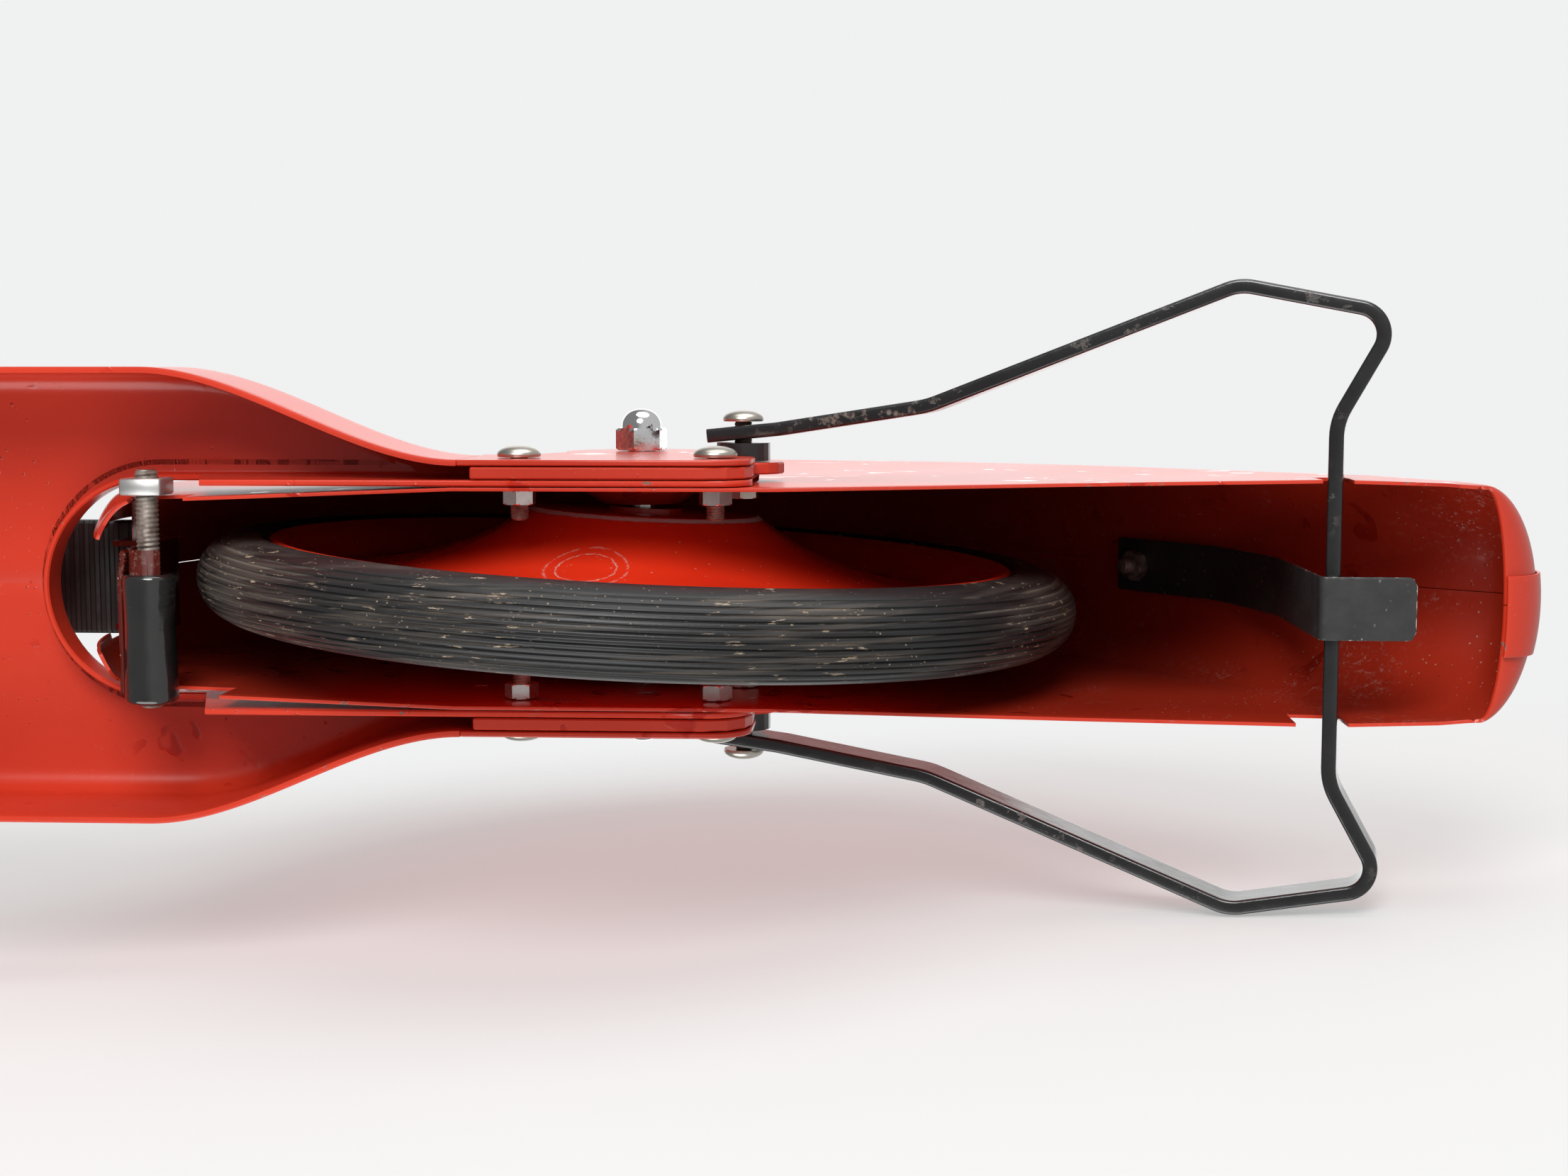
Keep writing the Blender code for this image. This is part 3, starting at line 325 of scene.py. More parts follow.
def plated(name, bright, dark, gloss, tarnish, speck=0.3):
    """Plated steel: bright metal clouded with tarnish and freckled where the plating has gone."""
    f = Finish(name)
    cloud = f.noise(120.0, 4.0, 0.6)
    freckle = f.cells(900.0).rise(0.20, 0.08) * f.noise(150.0, 2.0).rise(0.50, 0.65) * speck
    colour = f.mixed(cloud.rise(0.35, 0.75) * tarnish, bright, dark)
    colour = f.mixed(freckle, colour, (0.10, 0.06, 0.04))
    rough = gloss + cloud * tarnish * 0.22 + freckle * 0.4
    height = f.noise(700.0, 3.0) * 0.3 - freckle
    return f.set(Base_Color=colour, Metallic=1 - freckle * 0.8, Roughness=rough,
                 Normal=f.bumped(height, 0.00012, 0.5)).material


def thread_steel():
    """Dull brownish steel of a screw's bare end."""
    f = Finish("thread steel")
    cloud = f.noise(300.0, 4.0, 0.6)
    colour = f.mixed(cloud.rise(0.3, 0.7), (0.30, 0.265, 0.235), (0.12, 0.088, 0.068))
    return f.set(Base_Color=colour, Metallic=0.35 + cloud * 0.4, Roughness=0.35 + cloud * 0.3).material


def glossy_sleeve():
    """Shiny black sleeve, smooth with slight dents and a little dust."""
    f = Finish("glossy black sleeve", Coat_Weight=0.6, Coat_Roughness=0.04, Specular_IOR_Level=0.6)
    dents = f.noise(130.0, 2.0)
    dust = f.cells(800.0).rise(0.12, 0.05) * f.noise(90.0).rise(0.55, 0.7)
    colour = f.mixed(dust, f.mixed(dents, (0.009, 0.009, 0.009), (0.018, 0.018, 0.018)), (0.22, 0.18, 0.15))
    return f.set(Base_Color=colour, Roughness=0.10 + dents * 0.10 + dust * 0.4,
                 Normal=f.bumped(dents * 0.8 + f.noise(500.0, 2.0) * 0.08, 0.0007, 0.8)).material


def rib_rubber(name, pitch, axis, sheen=0.42):
    """Black moulded rubber with fine ribs and a greyish bloom on their crests."""
    f = Finish(name)
    across = f.axes()[axis]
    crest = (across * (math.tau / pitch)).sine().rise(-0.5, 0.6)
    bloom = f.noise(70.0, 4.0, 0.6)
    colour = f.mixed(bloom.rise(0.35, 0.7) * 0.6 * crest, (0.013, 0.013, 0.013), (0.060, 0.057, 0.055))
    rough = sheen + bloom * 0.25
    height = crest + f.noise(800.0, 2.0) * 0.1
    return f.set(Base_Color=colour, Roughness=rough, Normal=f.bumped(height, 0.0006, 0.9)).material


def scuffed_steel():
    """Black-finished spring steel: a soft lumpy satin with a few pits and a pale worn rim."""
    f = Finish("scuffed spring steel", Coat_Weight=0.15, Coat_Roughness=0.3)
    lumps = f.noise(170.0, 3.0, 0.55)
    pits = f.cells(420.0).rise(0.20, 0.08) * f.noise(70.0, 2.0).rise(0.54, 0.66)
    edge = (f.attribute("edge") * f.noise(420.0, 4.0, 0.7)).rise(0.42, 0.56)
    colour = f.mixed(lumps, (0.016, 0.016, 0.016), (0.038, 0.038, 0.038))
    colour = f.mixed((pits * 0.4).most(edge * 0.9), colour, (0.42, 0.39, 0.36))
    rough = 0.30 + lumps * 0.15 + edge * 0.2
    height = lumps + pits * 0.5
    return f.set(Base_Color=colour, Roughness=rough, Normal=f.bumped(height, 0.0006, 0.8)).material


PAINT = red_enamel("red enamel", 0.15)
GUARD_PAINT = red_enamel("mudguard enamel", 0.2, 0.95)
# The mudguard's inside: the same enamel darkened to 0.62 as painted shade, with dust at 0.9.
GUARD_INSIDE_SHADED = red_enamel("mudguard inside painted shade", 0.9, 0.62)
ARM_PAINT = red_enamel("arm enamel", 0.15, 0.88)
GRIMY_PAINT = red_enamel("grimy enamel", 1.0, 0.14)
WHEEL_PAINT = wheel_enamel()
BLACK = black_enamel()
REAR_TYRE = tyre_rubber("rear tyre rubber", tuple(from_rear(0, WHEEL_MID_Y, WHEEL_R)), -WHEEL_SKEW)
FRONT_TYRE = tyre_rubber("front tyre rubber", tuple(FRONT), 0.0)
ZINC = plated("bright zinc", (0.80, 0.79, 0.77), (0.50, 0.46, 0.42), 0.22, 0.55)
NICKEL = plated("dull nickel", (0.60, 0.565, 0.50), (0.38, 0.34, 0.29), 0.26, 0.7)
CHROME = plated("chrome", (0.86, 0.87, 0.89), (0.62, 0.62, 0.63), 0.05, 0.35, 0.1)
GREY_NUT = plated("pale grey nut", (0.62, 0.62, 0.61), (0.42, 0.41, 0.39), 0.42, 0.7)
THREAD = thread_steel()
SLEEVE = glossy_sleeve()
PEDAL = rib_rubber("pedal rubber", 0.0030, 0)
MAT = rib_rubber("mat rubber", 0.0050, 1, 0.5)
GRIP = rib_rubber("grip rubber", 0.0040, 1, 0.38)
SPRING = scuffed_steel()


# ---- making pieces -----------------------------------------------------------------------------
def grid_faces(rows, columns, wrap_rows, wrap_columns):
    """Quads between neighbouring points of a grid, carried round where a side wraps."""
    r = np.arange(rows if wrap_rows else rows - 1)[:, None]
    c = np.arange(columns if wrap_columns else columns - 1)[None, :]
    r2 = (r + 1) % rows
    c2 = (c + 1) % columns
    corners = [r * columns + c, r2 * columns + c, r2 * columns + c2, r * columns + c2]
    return np.stack([np.broadcast_to(k, (len(r), c.shape[1])) for k in corners], axis=2).reshape(-1, 4)


def sheet_mesh(name, points, wrap_rows=False, wrap_columns=False, marks=None):
    """A mesh over a grid of points. marks are named values per point that the finishes read."""
    rows, columns = points.shape[:2]
    faces = grid_faces(rows, columns, wrap_rows, wrap_columns)
    mesh = bpy.data.meshes.new(name)
    mesh.from_pydata(points.reshape(-1, 3), [], faces)
    for label, values in (marks or {}).items():
        layer = mesh.attributes.new(label, "FLOAT", "POINT")
        layer.data.foreach_set("value", np.broadcast_to(values, (rows, columns)).ravel().astype(np.float32))
    return mesh


def weld(mesh, outward=False):
    """Merges doubles, and where asked turns the faces of a closed piece outwards."""
    bm = bmesh.new()
    bm.from_mesh(mesh)
    bmesh.ops.remove_doubles(bm, verts=bm.verts, dist=SAME_POINT)
    bmesh.ops.dissolve_degenerate(bm, edges=bm.edges, dist=NO_LENGTH)
    if outward:
        bmesh.ops.recalc_face_normals(bm, faces=bm.faces)
    bm.to_mesh(mesh)
    bm.free()
    return mesh


def turned_out(mesh, inside):
    """Turns an open sheet's faces, if need be, so that they look away from a point on its inner side."""
    count = len(mesh.polygons)
    normals, centres = np.empty(count * 3), np.empty(count * 3)
    mesh.polygons.foreach_get("normal", normals)
    mesh.polygons.foreach_get("center", centres)
    away = (normals * (centres - np.tile(np.array(inside), count))).sum()
    if away < 0:
        mesh.flip_normals()
    return mesh


def piece(name, mesh, finish, body, nodes=(), crease=35.0):
    """Puts a mesh in the scene as a piece that rides on a body and stands for CAD nodes."""
    mesh.shade_smooth()
    mesh.set_sharp_from_angle(angle=math.radians(crease))
    mesh.materials.append(finish)
    obj = bpy.data.objects.new(name, mesh)
    bpy.context.scene.collection.objects.link(obj)
    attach(obj, body)
    if nodes:
        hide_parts(*nodes)
    return obj


def walled(obj, thickness):
    """Gives an open sheet its thickness, on the inner side of its faces."""
    wall = obj.modifiers.new("wall", "SOLIDIFY")
    wall.thickness = thickness
    wall.offset = -1.0


def eased(obj, width, segments=2, angle=50.0):
    ease = obj.modifiers.new("eased edges", "BEVEL")
    ease.width = width
    ease.segments = segments
    ease.limit_method = "ANGLE"
    ease.angle_limit = math.radians(angle)
    ease.harden_normals = False


def curve_through(points, per=8):
    """A smooth curve through points: on each span a cubic whose end slopes follow the neighbours."""
    p = np.array(points, float)
    p = np.vstack([2 * p[0] - p[1], p, 2 * p[-1] - p[-2]])
    t = np.linspace(0, 1, per, endpoint=False)[:, None]
    a, b, c, d = p[:-3, None], p[1:-2, None], p[2:-1, None], p[3:, None]
    spans = 0.5 * (2 * b + (c - a) * t + (2 * a - 5 * b + 4 * c - d) * t ** 2
                   + (3 * b - a - 3 * c + d) * t ** 3)
    return np.vstack([spans.reshape(-1, p.shape[1]), p[-2]])


def arc(cx, cy, radius, start, end, count):
    angle = np.radians(np.linspace(start, end, count))
    return np.stack([cx + radius * np.cos(angle), cy + radius * np.sin(angle)], axis=1)


def smooth(t):
    t = np.clip(t, 0, 1)
    return t * t * (3 - 2 * t)


def full_turn(steps):
    return np.linspace(0, math.tau, steps, endpoint=False)[:, None]


def around(radius, angle, height):
    """Grid points at a radius and an angle about Z, at a height."""
    return np.stack([radius * np.cos(angle), radius * np.sin(angle), height + 0 * angle], axis=2)


def turned(name, profile, matrix, steps, bored=False, marks=None):
    """A profile of (radius, height) carried round local Z. A bored one is closed on itself."""
    profile = np.array(profile, float)
    points = around(profile[None, :, 0], full_turn(steps), profile[None, :, 1])
    return weld(sheet_mesh(name, carried(points, matrix), True, bored, marks), outward=True)


def swept(name, path, section, wide, marks=None, widths=1.0):
    """A closed section carried along a path: its first axis lies across the path in the plane that
    `wide` is normal to, and its second axis lies along `wide`. widths scales the second axis."""
    path = np.array(path, float)
    section = np.array(section, float)
    wide = np.array(wide, float)
    tangent = np.gradient(path, axis=0)
    tangent /= np.linalg.norm(tangent, axis=1)[:, None]
    across = np.cross(tangent, wide)
    across /= np.linalg.norm(across, axis=1)[:, None]
    second = np.cross(across, tangent)
    scale = np.broadcast_to(widths, (len(path),))[:, None, None]
    points = (path[:, None] + section[None, :, :1] * across[:, None]
              + section[None, :, 1:] * scale * second[:, None])
    mesh = sheet_mesh(name, points, wrap_columns=True, marks=marks)
    bm = bmesh.new()
    bm.from_mesh(mesh)
    bmesh.ops.holes_fill(bm, edges=[e for e in bm.edges if e.is_boundary])
    bmesh.ops.recalc_face_normals(bm, faces=bm.faces)
    bm.to_mesh(mesh)
    bm.free()
    return mesh


def round_bar(radius, count=24):
    angle = np.linspace(0, math.tau, count, endpoint=False)
    return np.stack([radius * np.cos(angle), radius * np.sin(angle)], axis=1)


def flat_bar(thick, wide, corner, count=5):
    """Outline of a flat bar with rounded corners and points along its broad faces."""
    x, y = thick / 2 - corner, wide / 2 - corner
    face = np.linspace(-0.93, 0.93, 11)[:, None] * y
    edge = np.full_like(face, thick / 2)
    quarters = [arc(x, y, corner, 0, 90, count), arc(-x, y, corner, 90, 180, count),
                np.hstack([-edge, -face]), arc(-x, -y, corner, 180, 270, count),
                arc(x, -y, corner, 270, 360, count), np.hstack([edge, face])]
    return np.vstack(quarters)


def rounded_route(corners, radii, step=math.radians(5)):
    """A route through corners in a plane, each turned on its own radius."""
    route = [np.array(corners[0])]
    for before, here, after, radius in zip(corners, corners[1:], corners[2:], radii):
        here = np.array(here)
        a = np.array(before) - here
        b = np.array(after) - here
        a /= np.linalg.norm(a)
        b /= np.linalg.norm(b)
        half = math.acos(np.clip(a @ b, -1, 1)) / 2
        centre = here + (a + b) / np.linalg.norm(a + b) * radius / math.sin(half)
        start = here + a * radius / math.tan(half) - centre
        turn = (math.pi - 2 * half) * np.sign(a[1] * b[0] - a[0] * b[1])
        angle = np.linspace(0, turn, max(3, int(abs(turn) / step) + 2))
        c, s = np.cos(angle), np.sin(angle)
        turned_start = np.stack([c * start[0] - s * start[1], s * start[0] + c * start[1]], axis=1)
        route.extend(centre + turned_start)
    route.append(np.array(corners[-1]))
    return np.array(route)


def plate(name, outline, matrix, low, high):
    """A flat plate: an outline in local X and Y between two heights."""
    bm = bmesh.new()
    lower = [bm.verts.new((x, y, low)) for x, y in outline]
    face = bm.faces.new(lower)
    made = bmesh.ops.extrude_face_region(bm, geom=[face])
    for vert in (v for v in made["geom"] if isinstance(v, bmesh.types.BMVert)):
        vert.co.z = high
    bmesh.ops.transform(bm, matrix=matrix, verts=bm.verts)
    bmesh.ops.recalc_face_normals(bm, faces=bm.faces)
    mesh = bpy.data.meshes.new(name)
    bm.to_mesh(mesh)
    bm.free()
    return mesh


def opened(mesh, low, high):
    """Cuts a box-shaped opening in a sheet: splits it on the box's sides, then drops what is inside."""
    bm = bmesh.new()
    bm.from_mesh(mesh)
    for axis in range(3):
        normal = [1.0 if axis == k else 0.0 for k in range(3)]
        for corner in (low, high):
            geometry = list(bm.verts) + list(bm.edges) + list(bm.faces)
            bmesh.ops.bisect_plane(bm, geom=geometry, plane_co=corner, plane_no=normal, dist=1e-6)
    inside = [f for f in bm.faces if all(low[k] < f.calc_center_median()[k] < high[k] for k in range(3))]
    bmesh.ops.delete(bm, geom=inside, context="FACES")
    bm.to_mesh(mesh)
    bm.free()
    return mesh


def copied(node, finish, body, crease=35.0, bevel=0.0):
    """A CAD node's shape with its loose triangles joined and its curves shaded smooth."""
    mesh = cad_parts[node].data.copy()
    mesh.materials.clear()
    weld(mesh)
    made = piece(node + "_piece", mesh, finish, body, [node], crease)
    if bevel:
        eased(made, bevel)
    return made


# ---- footboard ---------------------------------------------------------------------------------
RISE_X, RISE_R, RISE = 0.440, 0.090, math.radians(62)


def deck_line():
    """Side view of the footboard's top ahead of the arms: flat, an upward bend, then straight to the
    head. Returns places, slopes and the travelled length, evenly spread apart from the slot's end."""
    flat = np.concatenate([np.linspace(0.0405, SLOT_MID, 44, endpoint=False),
                           SLOT_MID + (SLOT_HALF + 0.004) * np.sin(np.linspace(0, math.pi / 2, 22)),
                           np.linspace(0.170, RISE_X, 40)])
    bend = np.linspace(0, RISE, 26)[1:]
    corner = np.array([RISE_X + RISE_R * math.sin(RISE), DECK_TOP + RISE_R * (1 - math.cos(RISE))])
    top = STEER_FOOT + 0.232 * STEER_UP
    end = np.array([top.x - REAR.x - 0.008 * math.sin(RISE), top.z + 0.008 * math.cos(RISE)])
    climb = corner + np.linspace(0, 1, 24)[1:, None] * (end - corner)
    steepness = math.atan2(end[1] - corner[1], end[0] - corner[0])
    x = np.concatenate([flat, RISE_X + RISE_R * np.sin(bend), climb[:, 0]])
    z = np.concatenate([flat * 0 + DECK_TOP, DECK_TOP + RISE_R * (1 - np.cos(bend)), climb[:, 1]])
    slope = np.concatenate([flat * 0, bend, np.full(len(climb), steepness)])
    travel = np.concatenate([[0], np.cumsum(np.hypot(np.diff(x), np.diff(z)))])
    return x, z, slope, travel


def deck_pan(side):
    """One half of the channel footboard. Along: deck_line. Across: from the slot's edge (or the middle
    ahead of it) flat to the corner, round it, and down the flange. Width is the arms' plus a smooth
    step over the first 85 mm, and narrows with depth and corner over the climb to the head."""
    x, z, slope, travel = deck_line()
    taper_from = travel[np.argmax(x > 0.30)]
    q = smooth((travel - taper_from) / (travel[-1] - taper_from))
    half = ARM_HALF + (DECK_HALF - ARM_HALF) * smooth((x - 0.040) / 0.085)
    half = half + (0.0135 - half) * q
    depth = (DECK_TOP - EDGE_Z) * (1 - q) + 0.016 * q
    corner = 0.008 * (1 - q) + 0.005 * q
    reach = SLOT_HALF + 0.004
    inner = np.sqrt(np.clip(reach ** 2 - np.clip(x - SLOT_MID, 0, reach) ** 2, 0, None))
    inner = np.where(x < 0.06, np.minimum(inner, half - corner - 0.0004), inner)
    turn = np.radians(np.linspace(90, 0, 9))
    flat_y = inner[:, None] + (half - corner - inner)[:, None] * np.linspace(0, 1, 9)[None, :-1]
    bend_y = half[:, None] - corner[:, None] * (1 - np.cos(turn))
    wall_y = half[:, None] + np.zeros((1, 7))
    down = [flat_y * 0, corner[:, None] * (1 - np.sin(turn)),
            corner[:, None] + (depth - corner)[:, None] * np.linspace(0, 1, 8)[None, 1:]]
    y = np.concatenate([flat_y, bend_y, wall_y], axis=1)
    d = np.concatenate(down, axis=1)
    points = np.stack([REAR.x + x[:, None] + d * np.sin(slope)[:, None], side * y,
                       z[:, None] - d * np.cos(slope)[:, None]], axis=2)
    edge = np.clip(1 - (depth[:, None] - d) / 0.0030, 0, 1)
    mesh = sheet_mesh("deck_pan", points, marks={"edge": edge})
    return turned_out(mesh, from_rear(0.28, side * 0.03, 0.02))


def slot_flange():
    """The flange turned down round the wheel slot and carried back as the inner arms. Path: back arm,
    half round the slot's front, back arm. Section: flat top, 2.4 mm bend, wall down to a depth that
    steps from 11 mm at the front to the full 40 mm beside the wheel and rounds off at the arm's end."""
    straight = np.concatenate([ARM_END + ARM_CORNER * (1 - np.cos(np.linspace(0, math.pi / 2, 10))),
                               np.linspace(ARM_END + ARM_CORNER, 0.040, 14)[1:],
                               np.linspace(0.0406, 0.108, 12), np.linspace(0.109, 0.118, 8),
                               np.linspace(0.119, SLOT_MID, 6)])
    bend = np.linspace(-math.pi / 2, math.pi / 2, 41)[1:-1]
    px = np.concatenate([straight, SLOT_MID + SLOT_HALF * np.cos(bend), straight[::-1]])
    py = np.concatenate([straight * 0 - SLOT_HALF, SLOT_HALF * np.sin(bend), straight * 0 + SLOT_HALF])
    nx = np.concatenate([straight * 0, np.cos(bend), straight * 0])
    ny = np.concatenate([straight * 0 - 1, np.sin(bend), straight * 0 + 1])
    low = np.interp(px, [0.109, 0.118], [EDGE_Z, 0.086])
    back = np.clip(ARM_CORNER - (px - ARM_END), 0, ARM_CORNER)
    low = low + ARM_CORNER - np.sqrt(ARM_CORNER ** 2 - back ** 2)
    turn = np.radians(np.linspace(90, 180, 6))
    out_off = np.concatenate([[0.0055], 0.0024 + 0.0024 * np.cos(turn)])
    out_drop = np.concatenate([[0.0], 0.0024 - 0.0024 * np.sin(turn)])
    in_off = np.concatenate([0.0024 + 0.0008 * np.cos(turn[::-1]), [0.0055]])
    in_drop = np.concatenate([0.0024 - 0.0008 * np.sin(turn[::-1]), [SHEET]])
    lip = 0.0004
    foot = 9.0                     # no drop is this deep: it marks points measured from the lower edge
    offset = np.concatenate([out_off, [0, 0, lip, SHEET - lip, SHEET, SHEET], in_off])
    drop = np.concatenate([out_drop, [0.006, foot, foot, foot, foot, 0.006], in_drop])
    rise = np.concatenate([out_drop * 0, [0, lip, 0, 0, lip, 0], in_drop * 0])
    bare = (px < 0.0403)[:, None]
    offset = np.where(bare, np.minimum(offset[None, :], SHEET), offset[None, :])
    z = np.where(drop[None, :] == foot, low[:, None] + rise[None, :], DECK_TOP - drop[None, :])
    z = np.maximum(z, low[:, None])
    points = np.stack([REAR.x + px[:, None] + nx[:, None] * offset, py[:, None] + ny[:, None] * offset, z],
                      axis=2)
    edge = np.clip(1 - (z - low[:, None]) / 0.0025, 0, 1)
    mesh = sheet_mesh("slot_flange", points, wrap_columns=True, marks={"edge": edge})
    return weld(mesh, outward=True)


def outer_arm(side):
    """The deck's outer arm: low at the stand's pivot, with a round lug that carries the axle."""
    outline = np.vstack([arc(ARM_END + ARM_CORNER, EDGE_Z + ARM_CORNER, ARM_CORNER, 270, 180, 14),
                         arc(ARM_END + 0.008, 0.080, 0.008, 180, 95, 9), [(-0.0240, 0.0890)],
                         arc(0, LUG_Z, LUG_R, 195, -20, 40),
                         [(0.028, 0.0966), (0.0405, 0.0966), (0.0405, EDGE_Z)]])
    outline[:, 1] *= -side
    return plate("outer_arm", outline, spot(from_rear(0, 0, 0), (0, side, 0)), ARM_HALF - SHEET, ARM_HALF)


def make_deck():
    for side, tail in ((1, "left"), (-1, "right")):
        half = piece("footboard_" + tail, deck_pan(side), PAINT, "frame", ["deck"], 40)
        walled(half, SHEET)
        eased(half, 0.0004)
        arm = piece("outer_arm_" + tail, outer_arm(side), ARM_PAINT, "frame", ["deck"], 40)
        eased(arm, 0.0004)
        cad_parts["dropout_plate_" + tail].data.materials[0] = ARM_PAINT
    piece("slot_flange", slot_flange(), PAINT, "frame", ["deck"], 40)


# ---- rear mudguard -----------------------------------------------------------------------------
CIRCLE_TO, SLOPE_TO = 0.60, 0.88


def guard_lines(t):
    """Crown and lower edge in side view for t from nose (0) to tail (1): a circle about the axle to
    CIRCLE_TO, a cubic down the tail to SLOPE_TO, and a short cubic that curls under."""
    nose = math.atan2(EDGE_Z - WHEEL_R, 0.140)
    last = math.radians(110)
    angle = nose + (last - nose) * np.clip(t / CIRCLE_TO, 0, 1)
    circle = np.stack([GUARD_R * np.cos(angle), WHEEL_R + GUARD_R * np.sin(angle)], axis=-1)
    top = GUARD_R * np.array([math.cos(last), math.sin(last)]) + np.array([0, WHEEL_R])
    leave = top + 0.075 * np.array([-math.sin(last), math.cos(last)])
    bottom = (-0.236, 0.092)
    slope = cubic(top, leave, (-0.190, 0.125), bottom, np.clip((t - CIRCLE_TO) / 0.28, 0, 1))
    curl = cubic(bottom, (-0.245, 0.0855), (-0.247, 0.062), (-0.231, EDGE_Z),
                 np.clip((t - SLOPE_TO) / 0.12, 0, 1))
    crown = np.where((t > CIRCLE_TO)[..., None], slope, circle)
    crown = np.where((t > SLOPE_TO)[..., None], curl, crown)
    edge_x = np.interp(t, [0, 0.12, 0.25, 0.38, 0.51, 0.6, 0.88, 1.0],
                       [0.122, 0.117, 0.100, 0.062, 0.008, -0.036, -0.213, -0.224])
    return crown, np.stack([edge_x, edge_x * 0 + EDGE_Z], axis=-1)


def cubic(p0, p1, p2, p3, t):
    t = np.asarray(t)[..., None]
    return ((1 - t) ** 3 * np.array(p0) + 3 * (1 - t) ** 2 * t * np.array(p1)
            + 3 * (1 - t) * t ** 2 * np.array(p2) + t ** 3 * np.array(p3))


def guard_half_width(x):
    return np.interp(x, [-0.224, -0.215, -0.187, -0.120, -0.042, 0.042, 0.122],
                     [0.0305, 0.0313, 0.0321, 0.0310, 0.0294, 0.0294, 0.0263])


def guard_ribs(t):
    """For each t the lower edge, the direction and distance from it to the crown, the half width and
    the height of the shoulder below the crown."""
    crown, edge = guard_lines(t)
    rib = crown - edge
    length = np.linalg.norm(rib, axis=1)
    half = guard_half_width(edge[:, 0])
    return edge, rib / length[:, None], length, half, np.minimum(half, 0.8 * length)


def on_ribs(edge, rib, travel, y):
    """Points that have gone a distance from the lower edge towards the crown, at a width."""
    return np.stack([REAR.x + edge[:, 0] + rib[:, 0] * travel, y, edge[:, 1] + rib[:, 1] * travel], axis=2)


def guard_points(t, across):
    """Points of the mudguard's skin. t runs nose to tail; across runs from 2 at the lower edge to 1
    where the straight wall ends, and on to 0 at the crown over a quarter of an ellipse."""
    edge, rib, length, half, shoulder = guard_ribs(t)
    share = np.clip(across, 0, 1)[:, None]
    rise = length - shoulder + shoulder * np.sqrt(1 - share ** 2)
    wall = (length - shoulder) * (2 - across[:, None])
    travel = np.where(across[:, None] > 1, wall, rise)
    return on_ribs(edge, rib, travel, half * share), travel


def guard_half(side):
    t = np.linspace(0, 1, 190)
    bend = np.sin(np.radians(np.linspace(90, 0, 22)))
    bend[-1] = 0.0
    across = np.concatenate([np.linspace(2, 1, 26, endpoint=False), bend])
    points, travel = guard_points(t, across)
    points[-1, :, 1] = 0.00015
    points[:, :, 1] *= side
    edge = np.clip(1 - travel / 0.0028, 0, 1)
    tail_end = np.clip(1 - (1 - t) * 0.40 / 0.006, 0, 1)[None, :]
    edge = np.maximum(edge, tail_end)
    mesh = turned_out(sheet_mesh("mudguard", points, marks={"edge": edge}), from_rear(-0.03, 0, 0.12))
    if side > 0:
        stand_notch = ((NOTCH_X - 0.004, 0.02, 0.04), (NOTCH_X + 0.004, 0.05, 0.0712))
        brake_notch = ((0.1135, 0.02, 0.04), (0.1285, 0.05, 0.0672))
    else:
        stand_notch = ((NOTCH_X - 0.004, -0.05, 0.04), (NOTCH_X + 0.0095, -0.02, 0.0712))
        brake_notch = ((0.105, -0.05, 0.04), (0.135, -0.012, 0.0715))
    nose_gap = ((0.118, -0.0155, 0.04), (0.170, 0.0155, 0.134))
    nose_top = ((0.118, -0.0172, 0.104), (0.170, 0.0172, 0.140))
    for low, high in (stand_notch, brake_notch, nose_gap, nose_top):
        opened(mesh, from_rear(*low), from_rear(*high))
    return mesh


def seam_cover():
    """The strip over the mudguard's seam: the skin's own surface at 13 widths, 1.2 mm out."""
    t = np.linspace(11 / 34, 1, 150)
    widths = np.linspace(0.0075, -0.0135, 13)
    edge, rib, length, half, shoulder = guard_ribs(t)
    share = np.abs(widths)[:, None] / half
    travel = length - shoulder * (1 - np.sqrt(1 - share ** 2))
    points = on_ribs(edge, rib, travel, widths[:, None] + 0 * travel)
    normal = np.cross(np.gradient(points, axis=0), np.gradient(points, axis=1))
    normal /= np.linalg.norm(normal, axis=2)[:, :, None]
    inner = points - np.array(from_rear(-0.02, 0, 0.12))
    normal *= np.sign((normal * inner).sum(axis=2))[:, :, None]
    points = points + normal * 0.0012
    rim = np.clip(1 - (0.0105 - np.abs(widths + 0.003))[:, None] / 0.0020, 0, 1)
    edge_mark = np.maximum(rim, np.clip(1 - (1 - t) * 0.40 / 0.004, 0, 1)[None, :])
    return turned_out(sheet_mesh("seam_cover", points, marks={"edge": edge_mark}), from_rear(-0.03, 0, 0.12))


def make_mudguard():
    for side, tail in ((1, "left"), (-1, "right")):
        half = piece("mudguard_skin_" + tail, guard_half(side), GUARD_PAINT, "frame",
                     ["mudguard_" + tail], 40)
        # The inner faces take the darker enamel, painted shade for the inside.
        half.data.materials.append(GUARD_INSIDE_SHADED)
        walled(half, GUARD_T)
        half.modifiers["wall"].material_offset = 1
        eased(half, 0.0003, 2, 60)
    strip = piece("seam_cover", seam_cover(), PAINT, "frame", ["mudguard_seam_strip"], 40)
    walled(strip, 0.0007)
    eased(strip, 0.0002, 2, 60)


# ---- wheels ------------------------------------------------------------------------------------
FLANK = [(0.0385, 0.0186), (0.0440, 0.0152), (0.0520, 0.0114), (0.0620, 0.0078), (0.0740, 0.0045),
         (0.0850, 0.0025), (0.0905, 0.0026), (0.0960, 0.0056), (0.1010, 0.0088), (0.1050, 0.0108)]


